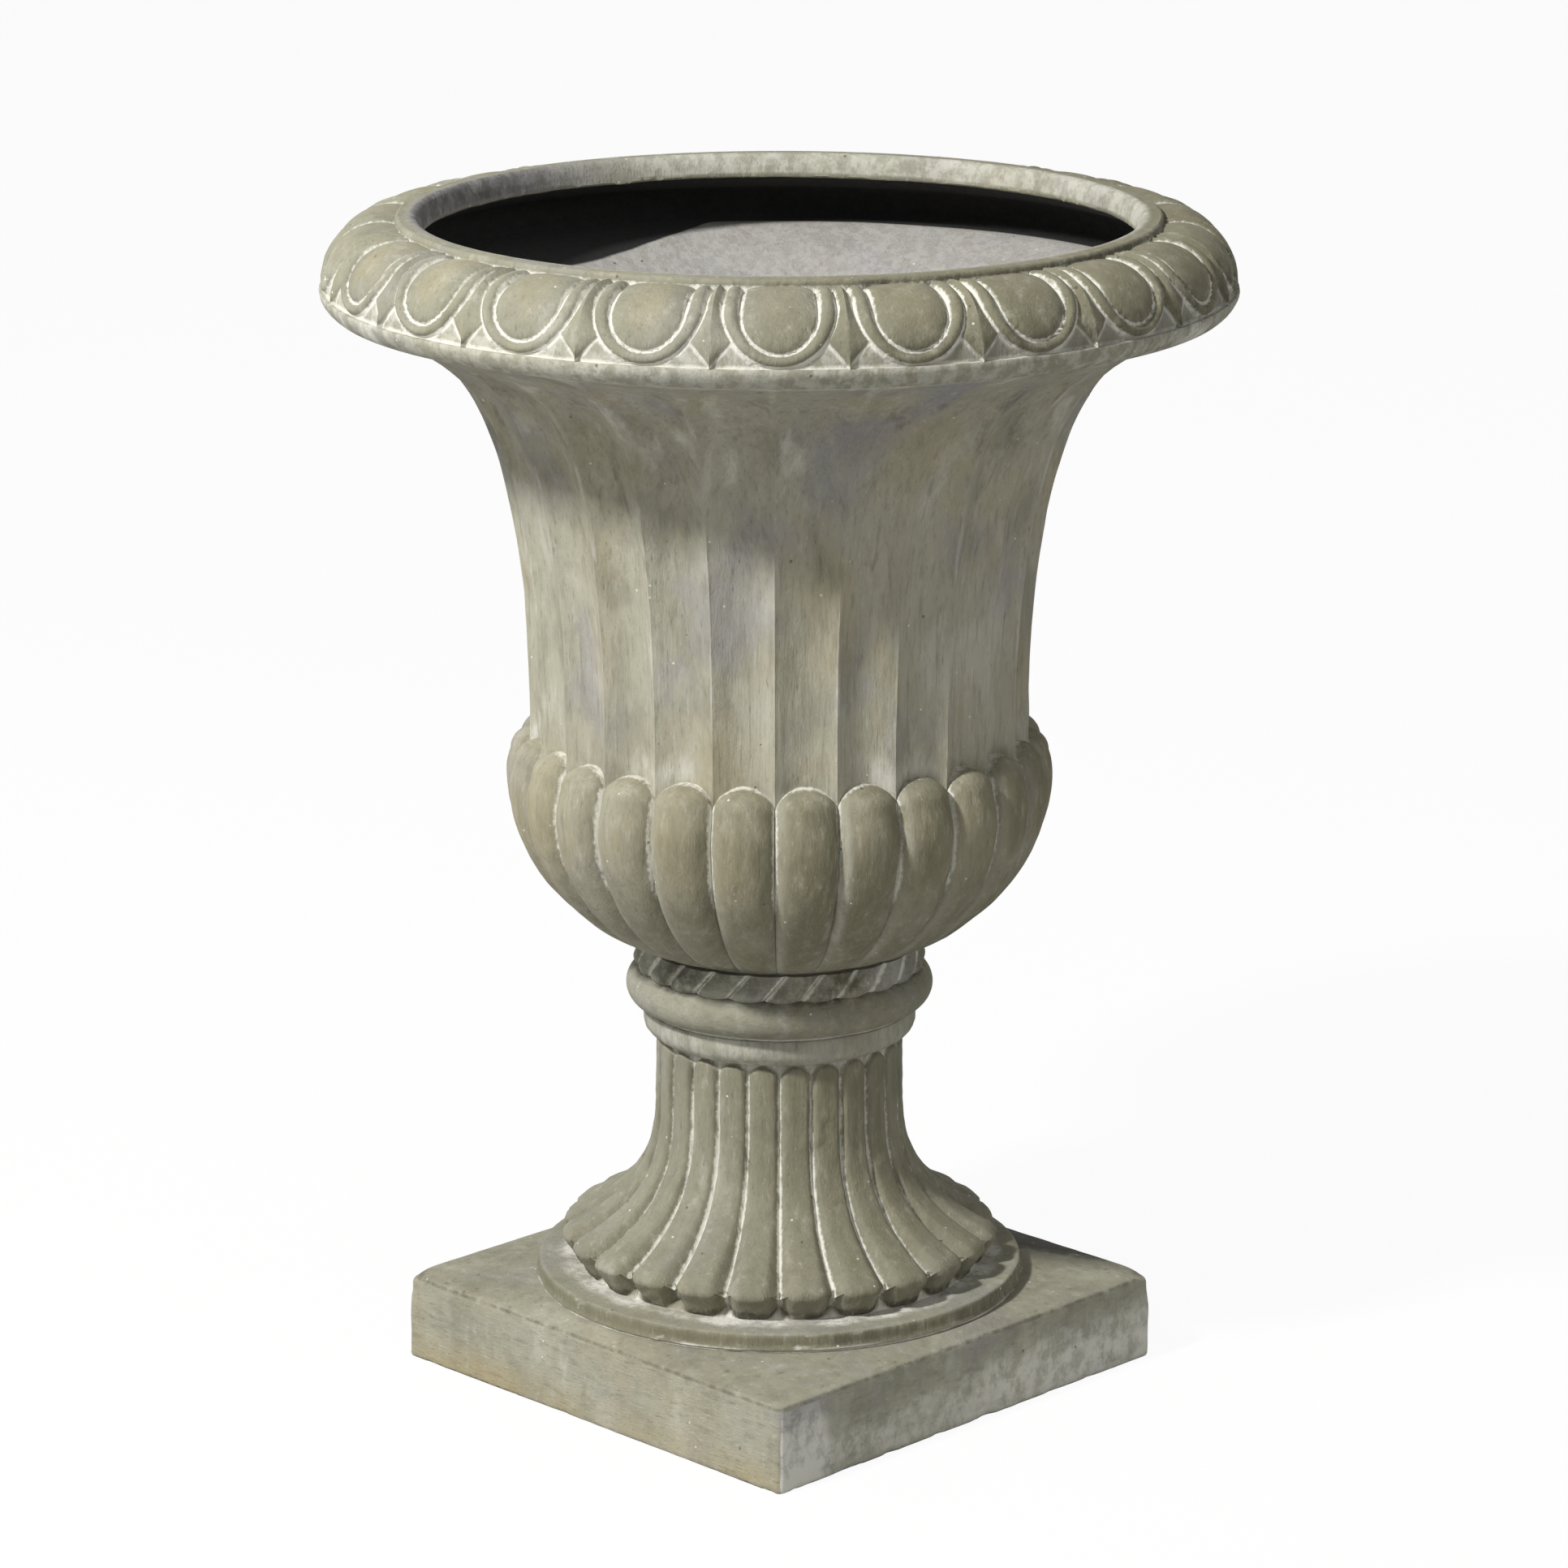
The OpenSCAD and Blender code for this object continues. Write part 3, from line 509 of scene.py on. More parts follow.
# %% [markdown]
# ## The bowl: lobes below, flutes above
#
# Twenty-six fat lobes on the belly end in round arches, and a hollow flute rises from each arch to the
# rim. The columns repeat per lobe and crowd towards the sharp valleys. The rows near the arch tops are
# bent along the arches, so that the rounded edge of each lobe is crisp rather than stepped. The section
# goes on over the top, down inside and across the floor, since a planter is hollow and is seen from
# above.

# %% Profile of the bowl
LOBES = 26
LOBE_PHASE = FRONT - radians(1)      # a valley stands here
BOWL_FOOT_R, BELLY_R, BELL_FOOT_R, BELL_FLARE = 76.5, 152, 139.5, 96


def belly_crest(z):
    swell = (1 - np.clip((Z_BELLY - z) / BELLY_H, 0, 1) ** 2) ** 0.714
    low = BOWL_FOOT_R + (BELLY_R - BOWL_FOOT_R) * swell
    return np.where(z <= Z_BELLY, low, BELLY_R - 2.5 * (np.maximum(z - Z_BELLY, 0) / NOTCH_H) ** 2)


def belly_groove(z):
    return 10.5 * (0.3 + 0.7 * np.clip((z - Z_BOWL) / BELLY_H, 0, 1) ** 0.8)


def up_bell(z):
    """0 at the bell's foot and 1 at its top."""
    return np.clip((z - Z_LOBE_TOP) / BELL_H, 0, 1)


def bell_arris(z):
    w = up_bell(z)
    return BELL_FOOT_R + BELL_FLARE * (w**2.65 + w**12) / 2


def bell(z, t):
    arris = bell_arris(z)
    # The flutes keep their shape as the bell widens, and run out close under the rim; the arris is dulled
    flute = 6.2 * (arris / BELL_FOOT_R) ** 0.7 * (1 - up_bell(z)**16) * (1 - np.abs(t) ** 2.5)
    return arris - flute - 0.85 * peak((1 - np.abs(t)) * arris * pi / LOBES, 2.4)


def half_round(t):
    return np.sqrt(np.clip(1 - t**2, 0, 1))


def arch_top(t):
    """Height of the lobe's rounded end above the floor: highest on the lobe's centre line."""
    return Z_NOTCH + ARCH_H * half_round(t)


def bowl_radius(z, t):
    """Radius over the lobes and flutes; t is -1 and 1 in the valleys, 0 on a crest."""
    lower = np.minimum(z, Z_NOTCH)
    crest = belly_crest(lower)
    base = crest - mix(belly_groove(lower), crest - bell(z, t), ramp(Z_NOTCH - 16, Z_NOTCH, z))
    end = np.sqrt(np.clip(1 - (np.maximum(z - Z_NOTCH, 0) / ARCH_H) ** 2 - t**2, 0, 1))
    lobe = mix(np.minimum(base, crest), crest, np.where(z <= Z_NOTCH, half_round(t), end))
    # A scoop behind the arch, where the modelling tool undercut the flute's foot
    scoop = 1.6 * np.exp(-np.maximum(z - arch_top(t), 0) / 7) * (1 - t**2)
    return np.where(z < arch_top(t), lobe, bell(z, t) - scoop)


# %% Rows of the bowl
def bowl_rows(t):
    """Heights of the rows for every column: level on the belly and bell, bent along the arches between."""
    bell_foot = Z_LOBE_TOP + 15        # the rows are level again from here up
    level = [*np.linspace(Z_BOWL, Z_BOWL + 8, 6, False), *np.linspace(Z_BOWL + 8, Z_NOTCH - 18, 36)]
    rows = [np.full_like(t, z) for z in level]
    for s in np.sin(np.linspace(0, 1, 19)[1:] * pi / 2):
        rows.append(mix(level[-1], arch_top(t) - 0.02, s))
    for lift in (0.02, 0.8, 2.2, 4.5, 7.5, 11, 15):
        rows.append(mix(arch_top(t) + lift, bell_foot, ramp(0, 15, lift) * 0.999))
    rows += [np.full_like(t, z) for z in np.linspace(bell_foot, Z_BOWL_TOP, 54)[1:]]
    return np.array(rows)


# Columns of one lobe, reed or strand, from valley to valley, crowded towards the valleys
PER_RIB = 20
ACROSS_RIB = np.sin(np.radians(np.arange(PER_RIB) * 180 / PER_RIB - 90))


def rib_columns(ribs, phase):
    """The place across its rib, -1 to 1, and the angle of every column; a valley stands at the phase."""
    t = np.tile(ACROSS_RIB, ribs)
    return t, phase + (np.repeat(np.arange(ribs), PER_RIB) + 0.5 + t / 2) * tau / ribs


def valley_distance(t, radius, ribs):
    """Distance in mm from the nearest valley, along the surface."""
    return (1 - np.abs(t)) * pi * radius / ribs


t, angle = rib_columns(LOBES, LOBE_PHASE)
heights = bowl_rows(t)
radii = bowl_radius(heights, t)
print("bowl skin", heights.shape, "widest", round(radii.max(), 1))

# %% Inside of the bowl
WALL = 13.0


def bowl_inner():
    """Corners of the inner face, from the rim down to the floor: the skin's line, a wall further in."""
    def line(z):
        return np.where(z <= Z_NOTCH, belly_crest(z) - belly_groove(z) * 0.81,
                        bell_arris(z) - 3.4 * (1 - up_bell(z)**8))

    low = mix(Z_BOWL, Z_BELLY, np.array([0.06, 0.12, 0.2, 0.3, 0.42, 0.56, 0.74, 0.94]))
    high = mix(Z_LOBE_TOP, Z_BOWL_TOP, np.array([0.02, 0.25, 0.45, 0.6, 0.72, 0.8, 0.86, 0.91, 0.95, 0.98]))
    z = np.concatenate([low, high])
    slope = line(z + 0.5) - line(z - 0.5)
    along = np.hypot(1, slope)
    corners = list(zip(line(z) - WALL / along, z + WALL * slope / along))
    corners = [(r, h) for r, h in corners if h > Z_FLOOR + 3 and r < 226]
    return corners[::-1] + [(corners[0][0] - 5.2, Z_FLOOR)]


def curve_through(points, step):
    """A smooth line through the points, about step mm between its own points (Catmull-Rom)."""
    p = np.array(points, float)
    p = np.vstack([2 * p[0] - p[1], p, 2 * p[-1] - p[-2]])
    out = []
    for a, b, c, d in zip(p, p[1:], p[2:], p[3:]):
        n = max(1, round(dist(b, c) / step))
        for s in np.arange(n) / n:
            twice = 2 * b + (c - a) * s + (2 * a - 5 * b + 4 * c - d) * s**2 + (3 * b - a - 3 * c + d) * s**3
            out.append(tuple(twice / 2))
    return out + [tuple(points[-1])]


boss = above(Z_BOWL, (60, -9), (60, 0))
top = above(Z_BOWL_TOP, (225.5, 0), (225.5, 8), (224.5, 9))
inner = top + curve_through(bowl_inner(), 7)
sections = zip(spin(boss, len(angle)), (radii, heights), spin(inner, len(angle)))
radius, height = (np.vstack(parts) for parts in sections)
skin = slice(len(boss), len(boss) + len(radii))
inside = slice(skin.stop + len(top), None)

# %% Unevenness and stains of the bowl
bumps = bumps_over(radius, height, angle)
uneven = bumps(24) * 0.5 + bumps(5, 2, 0.3) * 0.28
wash_and_light, warm, cool_and_shade, stain_and_shade, painted_shadow, grime_and_shade, keep = (np.zeros_like(radius) for _ in range(7))
for part, foot_z, fade in ((skin, Z_BOWL, 5), (inside, Z_FLOOR, 12)):
    keep[part] = ramp(0, fade, height[part] - foot_z) * ramp(0, fade, Z_BOWL_TOP - height[part])
radius += (uneven - 0.2) * keep
groove = np.full_like(radius, NO_LINE)
# Painted shadow: the bowl's top, in the shade under the rim, is painted near-black
painted_shadow[skin.stop:inside.start] = 1
z, p = height[skin], bumps(38)[skin]
above_arch = z - arch_top(t)
belly = above_arch < 0
line = np.abs(above_arch) + 0.55
line = np.where(belly, np.minimum(line, valley_distance(t, radii, LOBES) * 0.5), line)
groove[skin] = line + 0.1 + 0.55 * ramp(-0.2, 0.7, p) + 2.5 * ramp(Z_BELLY - 25, Z_BOWL + 15, z)
# Painted light and shade on the lobes: each lobe's left flank is paler, towards the key light, its right
# flank darker, and the lobes darken towards the right, away from the light; the tan stain sits on their brows
brow = peak(z - Z_NOTCH + 26, 24) * (1 - t**2)
shaded_flank = belly * ramp(0.15, 0.85, t) * ramp(1.0, 0.9, np.abs(t)) * ramp(Z_BOWL + 4, Z_BOWL + 30, z)
upper = ~belly * ramp(Z_BOWL_TOP - 150, Z_BOWL_TOP - 60, z)
# Under the rim the rain runs down in drips: dark ones, and pale ones where it carried lime
drips = bumps(15, 3, 0.1)[skin]
wash_and_light[skin] = np.clip(np.maximum.reduce([
    0.25 * belly * ramp(0.9, 1, np.abs(t)),
    ~belly * ramp(38, 3, above_arch) * np.clip(0.32 + 0.5 * p, 0, 0.5),
    # Painted highlight: the flutes' arrises are paler
    0.3 * ~belly * ramp(0.82, 0.97, np.abs(t)) * ramp(20, 60, above_arch) * (0.8 + p),
    0.5 * ramp(Z_BOWL_TOP - 5, Z_BOWL_TOP, z),
    # Painted light: each lobe's left flank, towards the key light, is paler
    0.36 * belly * ramp(-0.2, -0.85, t) * (0.8 + 0.5 * p),
    0.41 * upper * ramp(0.05, 0.6, -drips)]), 0, 1)
# Darker towards the bowl's foot, where it meets the collar
darker_near_foot = ramp(Z_BOWL + 20, Z_BOWL, z) * (0.3 + 0.4 * p)
grime_and_shade[skin] = np.maximum.reduce([
    np.clip(darker_near_foot + 0.3 * ramp(14, 3, above_arch) * ~belly * (p < 0), 0, 1),
    0.2 * shaded_flank * (1 + p), 0.38 * upper * ramp(0.05, 0.6, drips)])
lobe_painted_shade = belly * np.clip(away_from_light(angle) * (0.78 + 0.5 * p) * (0.6 + 0.4 * (1 - t**2)), 0, 0.9)
bell_stain = 0.12 * ~belly * ramp(Z_BOWL_TOP - 95, Z_BOWL_TOP - 30, z) * (1 + 0.5 * p)
stain_and_shade[skin] = np.maximum(np.clip(lobe_painted_shade + 0.3 * shaded_flank, 0, 0.95), bell_stain)
warm[skin] = np.clip(ramp(0.1, 0.7, bumps(55, 2))[skin] * np.where(belly, 0.4, 0.25)
                     + belly * brow * (0.44 + 0.4 * p), 0, 1)
cool_and_shade[skin] = 0.75 * ~belly * ramp(0.1, 0.5, bumps(42, 2, 0.6)[skin])
cool_and_shade[skin] *= ramp(Z_LOBE_TOP + 120, Z_BOWL_TOP, z)
cool_and_shade[inside], wash_and_light[inside] = 0.55, 0.34
# Painted shadow: the lip's shadow from the key light is painted near-black inside: it is level across from
# the key light, and at the two sides, where the lip's edge turns along the light's path, it runs down to the
# floor
SUN_AZIMUTH = -49                  # degrees to the right of the camera's direction, as for the key panel
across = radius[inside] * np.sin(angle - FRONT - radians(SUN_AZIMUTH) - pi)
ragged_line = bumps(60, 2)[inside]
over = height[inside] - mix(Z_BOWL_TOP + 8.6, Z_BOWL_TOP + 15, ramp(70, -30, across)) + 1.2 * ragged_line
painted_shadow[inside] = np.maximum(ramp(-2.5, 2.5, over), ramp(183, 196, np.abs(across) + 3 * ragged_line))


# %% Floor and boss, with the holes for the rod and the drain
HOLE_SIDES = 40
ROD_HOLE = (0, 0, 7.5)


def fill_flat(rings, ids, upward):
    """Triangles between an outline, the first ring, and the holes, the others; ids are mesh point numbers."""
    flat, edges, owner = [], [], []
    for k, ring in enumerate(rings):
        first = len(flat)
        flat += [Vector(p) for p in ring]
        owner += [k] * len(ring)
        edges += [(first + i, first + (i + 1) % len(ring)) for i in range(len(ring))]
    triangles, origin = delaunay_2d_cdt(flat, edges, [], 0, 1e-6)[2:4]
    faces = []
    for triangle in triangles:
        corners = [origin[v][0] for v in triangle]
        owners = {owner[c] for c in corners}
        if len(owners) > 1 or owners == {0}:
            faces.append([ids[c] for c in (corners if upward else corners[::-1])])
    return faces


def bored(radius, height, angle, holes, masks):
    """Closes a grid flat at its first and last row, with round holes (x, y, radius) from one to the other.
    Returns the points, the faces, and the masks with a 0 for every point of the holes."""
    rows, cols = radius.shape
    total, n = rows * cols, HOLE_SIDES
    points = ring_points(radius, height, angle)
    faces = grid_faces(rows, cols, close_rows=False)
    a = np.arange(n) * tau / n
    for first, level, upward in ((0, height[0, 0], False), (total - cols, height[-1, 0], True)):
        rings, ids = [points[first:first + cols, :2].tolist()], list(range(first, first + cols))
        for hx, hy, hole_r in holes:
            ring = np.stack([hx + hole_r * np.cos(a), hy + hole_r * np.sin(a), level + 0 * a], -1)
            ids += range(len(points), len(points) + n)
            points = np.vstack([points, ring])
            rings.append(ring[:, :2].tolist())
        faces += fill_flat(rings, ids, upward)
    for k in range(len(holes)):
        low, high = total + n * k, total + n * (k + len(holes))
        faces += [(low + (i + 1) % n, low + i, high + i, high + (i + 1) % n) for i in range(n)]
    return points, faces, {m: np.append(v.ravel(), np.zeros(len(points) - total)) for m, v in masks.items()}


points, faces, masks = bored(radius, height, angle, [ROD_HOLE, (DRAIN_X, 0, 11)], dict(
    wash_and_light=wash_and_light, warm=warm, cool_and_shade=cool_and_shade, stain_and_shade=stain_and_shade, painted_shadow=painted_shadow, grime_and_shade=grime_and_shade, groove=groove))
make_piece("bowl_lobes_and_flutes", points, faces, "urn", "bowl", bowl_stone, masks)

# %% [markdown]
# ## The foot: a reeded pedestal
#
# The foot is a round plate with twenty-four reeds that stand on it like the fingers of a hand: each has a
# bull-nosed end, thin grooves beside it, and a small arch where it stops under the plain fillet. The
# groove is cut along the section's own normal, because at the spreading foot a cut along the radius would
# smear it. The wash has run down the grooves and pooled between the finger ends.

# %% Section of the foot
REEDS = 24
NECK_R = 70
Z_SHAFT, Z_CROWN = 164.5, Z_FILLET - 12
CURVE = np.array([(NECK_R, Z_SHAFT), (NECK_R, 127.4), (76, 103.75), (121, 83.5)])


def cubic(p, t):
    return tuple((1 - t)**3 * p[0] + 3 * (1 - t)**2 * t * p[1] + 3 * (1 - t) * t * t * p[2] + t**3 * p[3])


plate = above(Z_PLATE, (137.4, 0), (138, 0.4), (137.8, 1), (137.2, 1.9), (137, 3.2), (137, 5), (136.9, 7),
              (136.5, 8.2), (135.6, 8.8), (134.2, 9), (130, 8.7), (126, 9), (121, 9), (117, 9), (113, 9))
nose = resample(above(Z_REEDS, (114.5, 0.4), (117, 4.5), (119.5, 8.5), (121.9, 12)), 1.6)
nose += above(Z_REEDS, (122.9, 13.4), (123.4, 14.6), (123.3, 16), (122.6, 17.6))
rise = [cubic(CURVE, s) for s in np.linspace(0.985, 0, 40)]
shaft = [(mix(NECK_R, 69.6, s), mix(Z_SHAFT, Z_CROWN, s)) for s in np.linspace(0, 1, 9)[1:]]
crown = [(69.6, Z_CROWN + 11.5 * s) for s in np.sin(np.linspace(0, 1, 10)[1:] * pi / 2)]
fillet = above(Z_FILLET, (68.6, 0), (70.4, 0.3), (73.4, 2), (75.6, 4.6), (76.5, 7.5), (76.5, 10), (76.5, 13),
               (76.2, 15.4), (75.4, 16))
hollow = [(51, Z_NECK_TOP), (51, 150), (51.5, 130), (58, 106), (70.5, 91), (78.8, 82.5), (91, 74.4),
          (101.4, 66.5), (102, 60.5), (102, Z_PLATE)]
line, kind = joined(plate, nose, rise, shaft, crown, fillet, hollow)
on_plate, on_crown, on_fillet, on_end = kind == 0, kind == 4, kind == 5, (kind == 1) | (kind == 2)
carved = (kind > 0) & (kind < 5)
print("foot section", len(line), "points")

# %% Grooves, arches and finger ends
t, angle = rib_columns(REEDS, FRONT)
normal = section_normals(line)
radius, height = spin(line, len(angle))
end = ramp(Z_REEDS + 60, Z_REEDS + 14, line[:, 1:]) * carved
# Flat-topped reeds: the V groove takes the outer part of each, wider and deeper where the foot spreads
start = mix(0.7, 0.52, end)
cut = np.clip((np.abs(t) - start) / (1 - start), 0, 1)
depth = (2.9 + 3.9 * end) * (cut ** 1.15 + 0.12 * t**2) * carved
# Each reed stops in an arch under the fillet: outside the arch the surface sinks to the neck
beyond = ramp(-0.6, 0.9, height - (Z_CROWN + 10 * half_round(t))) * on_crown
depth = mix(depth, 2.9, beyond)
radius -= depth * normal[:, :1]
height -= depth * normal[:, 1:] * on_end
height = np.where(on_end, np.maximum(height, Z_REEDS + 0.2), height)

# %% Pits, pools of wash, and painted shade under the finger ends
bumps = bumps_over(radius, height, angle)
uneven = bumps(22) * 0.4 + bumps(4.5, 2) * 0.3
keep = ramp(0, 3, height - Z_PLATE) * ramp(0, 3, Z_NECK_TOP - height) * (kind != 6)
uneven -= ramp(0.78, 0.98, np.abs(t)) * carved * np.maximum(bumps(3, 1), 0) * 1.6
under = (kind == 1) * ramp(Z_REEDS + 9, Z_REEDS + 1, height)
uneven += under * bumps(6, 2) * 1.5
# No two reeds end alike: each is a little longer or shorter, and its lip is dented
ends = np.repeat(np.random.default_rng(11).uniform(-1.6, 0.6, REEDS), PER_RIB)
uneven += ends * ramp(Z_REEDS + 30, Z_REEDS + 13, height) * on_end
uneven += ramp(0.2, 1, bumps(9, 2)) * -1.6 * on_end
radius += (uneven - 0.25) * keep * np.maximum(np.abs(normal[:, :1]), 0.3)
p = bumps(30)
pool = on_plate * (height > Z_REEDS - 1) * ramp(132, 120, radius)
groove = np.where(carved, valley_distance(t, radius, REEDS) * 0.66 + 0.4 * ramp(-0.3, 0.5, p), NO_LINE)
groove = np.where(beyond > 0.5, 1.2, groove)
# The plate's side is stained and scraped; painted shade darkens each reed's right flank and the reeds on the
# right, away from the key light
plate_side = on_plate * ramp(Z_REEDS - 0.2, Z_REEDS - 1, line[:, 1:])
shaded_flank = carved * ramp(0.2, 0.85, t) * ramp(1.0, 0.94, np.abs(t))
wash_and_light = np.maximum.reduce([
    0.68 * pool * (0.6 + 0.4 * np.abs(t)) * (1 + 0.5 * p), 0.5 * beyond * ramp(-0.4, 0.3, p),
    0.5 * ramp(0.6, 1, np.abs(t)) * end * ramp(-0.4, 0.4, p), (0.3 + 0.2 * p) * on_fillet,
    0.6 * ramp(Z_PLATE + 3, Z_PLATE, height) * ramp(-0.2, 0.4, p) * on_plate,
    0.5 * plate_side * ramp(0.2, 0.7, bumps(12, squeeze=3))])
stain_and_shade = np.maximum(0.78 * away_from_light(angle) * (1 - 0.6 * np.abs(t)) * carved * (1 + 0.4 * p), 0.8 * plate_side)
stain_and_shade = np.clip(stain_and_shade + 0.4 * shaded_flank, 0, 0.95)
# Painted shade: under the finger ends, on each reed's right flank, and on the plate's side where it faces
# right
grime_and_shade = np.maximum.reduce([
    np.clip(under * (0.75 + 0.5 * p) * ramp(0.99, 0.7, np.abs(t)), 0, 1), 0.26 * shaded_flank * (1 + 0.6 * p),
    0.36 * plate_side * ramp(-0.1, 0.9, facing(angle, 70)) * (1 + p)])
warm = ramp(0.15, 0.8, bumps(60, 2)) * 0.3
cast_ring("reeded_foot", "pedestal", foot_stone, radius, height, angle, dict(
    wash_and_light=wash_and_light, grime_and_shade=grime_and_shade, warm=warm, stain_and_shade=stain_and_shade, groove=groove))

# %% [markdown]
# ## The collar: torus and rope band
#
# A short casting lifts the bowl off the foot: a half-round torus below and a twisted rope band above. The
# twenty-four strands are leaning bulges with rounded lower ends. Here the columns themselves lean, so
# every groove follows the twist as one clean line.

# %% Collar
STRANDS = 24
LEAN = radians(9)

spigot = above(Z_COLLAR, (49.5, -9.5), (49.5, 0), (74.4, 0), (75.4, 0.2))
torus = arc((75, Z_COLLAR + 11), 11, -82, 84, 1.7) + [(77.6, Z_ROPE - 0.1)]
strand = [(78.2, Z_ROPE + ROPE_H * s) for s in (*np.linspace(0, 0.3, 10), *np.linspace(0.36, 1, 16))]
socket = [(76.5, Z_COLLAR_TOP), (61.5, Z_COLLAR_TOP), (61.5, Z_ROPE + 0.5), (42, Z_ROPE + 0.5),
          (42, Z_ROPE - 8), (42, Z_COLLAR), (42, Z_COLLAR - 9.5)]
line, kind = joined(spigot, torus, strand, socket)
on_torus, on_rope = kind == 1, kind == 2
s = np.clip((line[:, 1:] - Z_ROPE) / ROPE_H, 0, 1)
t, middle = rib_columns(STRANDS, FRONT - radians(2))
angle = middle + LEAN * np.select([on_rope, kind == 3], [s - 0.5, 0.5], -0.5)
radius, height = spin(line, len(middle))
round_end = np.where(s < 0.34, half_round((0.34 - s) / 0.34), 1)
swell = mix(1.0, 0.55, ramp(0.25, 1, s)) * round_end
radius += on_rope * (5.2 * np.sqrt(np.clip(1 - np.abs(t) ** 2.4, 0, 1)) * swell - 1.4)
height -= on_rope * 1.6 * ramp(0.3, 0, s) * (1 - t**2)

p = bumps_over(radius, height, angle)(26)
valley = on_rope * ramp(0.7, 0.97, np.abs(t))
groove = np.where(on_rope, valley_distance(t, radius, STRANDS) * 0.42 + 0.5 * ramp(-0.1, 0.6, p), NO_LINE)
groove = np.where(on_torus, 0.8 + np.maximum(height - Z_COLLAR, 0), groove)
# Painted shade: the torus darkens towards the right, away from the key light, and just under the rope's
# overhang; the rope's strands are darker, lying in the bowl's shade
stain_and_shade = 0.5 * on_torus * away_from_light(angle)
grime_and_shade = (0.4 * on_rope * (1 - valley) + 0.6 * on_torus * ramp(Z_ROPE - 4, Z_ROPE, height)) * (1 + p)
cast_ring("rope_band_and_torus", "rope_collar", collar_stone, radius, height, angle, dict(
    wash_and_light=0.2 * valley, grime_and_shade=np.clip(grime_and_shade, 0, 1), stain_and_shade=stain_and_shade, groove=groove))

# %% [markdown]
# ## The plinth
#
# The plinth is a square block with softly rounded corners and a top that rises a little to the foot's
# seat. It stands on the ground, so its bottom edge is chipped, and its colour darkens towards the ground.
# Each ring is a rounded square that turns into the circle of the seat, which gives the faint creases of the
# hipped top.

# %% Rings of the plinth
SIDE = 150.0
CORNER = 3.5
Z_EDGE = 46.5                      # the top edge begins to round here
Z_WEB = 24.0                       # the web over the hollow underneath


def square_distance(angle, side, corner):
    """Distance from the middle to a rounded square's outline, in the direction of the angle."""
    c, s = np.abs(np.cos(angle)), np.abs(np.sin(angle))
    big, small = np.maximum(c, s), np.minimum(c, s)
    inner = side - corner
    along = inner * (big + small)
    on_arc = along + np.sqrt(np.maximum(along**2 - 2 * inner**2 + corner**2, 0))
    return np.where(side / big * small <= inner, side / big, on_arc)


eighth = np.radians(45) * np.concatenate([np.linspace(0, 0.9, 44, False), np.linspace(0.9, 1, 17)])
quarter = np.concatenate([eighth[:-1], pi / 2 - eighth[::-1]])[:-1]
angle = np.concatenate([quarter + k * pi / 2 for k in range(4)])
outline = square_distance(angle, SIDE, CORNER)
recess = square_distance(angle, 113, 12)
rings = [(recess, Z_WEB), (recess, 12), (recess, 1), (recess + 1, 0), (mix(recess, outline, 0.5), 0)]
inner_rings = len(rings)
rings += [(outline - 1.6, 0), (outline - 0.5, 0.5), (outline, 1.6)]
rings += [(outline, z) for z in np.linspace(3.2, Z_EDGE, 22)]
rings += [(outline - 3 + 3 * cos(a), Z_EDGE + 3.2 * sin(a)) for a in np.radians((20, 40, 60, 80))]
rings += [(mix(outline - 3.3, 139.5, s), mix(49.8, Z_SEAT, s)) for s in np.linspace(0.03, 1, 13)]
rings += [(r, Z_SEAT) for r in (130, 110, 96)]
radius, height = (np.array([ring[k] + 0 * angle for ring in rings]) for k in (0, 1))
x, y = flat_place(radius, angle)
bumps = bumps_over(radius, height, angle)
uneven = bumps(32) * 0.5 + bumps(7, 2) * 0.35
chips = np.maximum(bumps(11, 3) - 0.1, 0) * 2.6 * ramp(5, 0.5, height)
# The corners are worn: the top edge droops and draws in over the last 10 mm, least at the near corner
worn = peak(np.hypot(SIDE - np.abs(x), SIDE - np.abs(y)), 11) * ramp(25, 48, height)
worn *= np.where(facing(angle, 0) > 0.9, 0.25, 1)
outer = (np.arange(len(rings)) >= inner_rings)[:, None]
keep = outer * (ramp(0, 1.2, height) * ramp(0.5, 4, Z_SEAT - height) + 0.5 * (height < 1))
radius -= (0.45 - uneven) * keep + chips * outer + 1.6 * worn
height -= 2.4 * worn * (height > 40)

# %% Stains of the plinth
bumps = bumps_over(radius, height, angle)
p = bumps(42)
side, top = height < 47, height >= 47
left_face = facing(angle, -45) > facing(angle, 45)
right_face = side & ~left_face
blotches = bumps(20, 4, 4)
near_corner = np.abs((angle - FRONT + pi) % tau - pi)
pale = ramp(0.16, 0.11, near_corner) * right_face
speckled = side * ramp(52, 14, height) * np.clip(0.45 + 0.18 * blotches, 0, 0.6)
wash_and_light = speckled * np.where(left_face, 0.35, 1) + 0.2 * top * ramp(0, 0.8, blotches) + 0.35 * pale
wash_and_light += 0.16 * right_face * ramp(0.45, 0.95, facing(angle, 90))
cool_and_shade = 0.6 * pale + 0.4 * top * ramp(0.2, 0.9, p)
warm = left_face * (ramp(26, 3, height) * side * (0.55 + 0.4 * p) + 0.2 * ramp(0, 0.6, p))
stain_and_shade = right_face * ramp(20, 46, height) * (0.08 + 0.16 * p) * (1 - pale)
stain_and_shade = np.where(side, np.maximum(stain_and_shade, 0), 0.4 * np.clip(1 + p, 0, 1))
# Darker towards the ground, and in a thin line along the top edge
edge_line = peak(height - 48.2, 1.3)
grime_and_shade = np.clip(ramp(3, 0, height) * (0.5 + 0.5 * p) + 0.5 * edge_line, 0, 1)
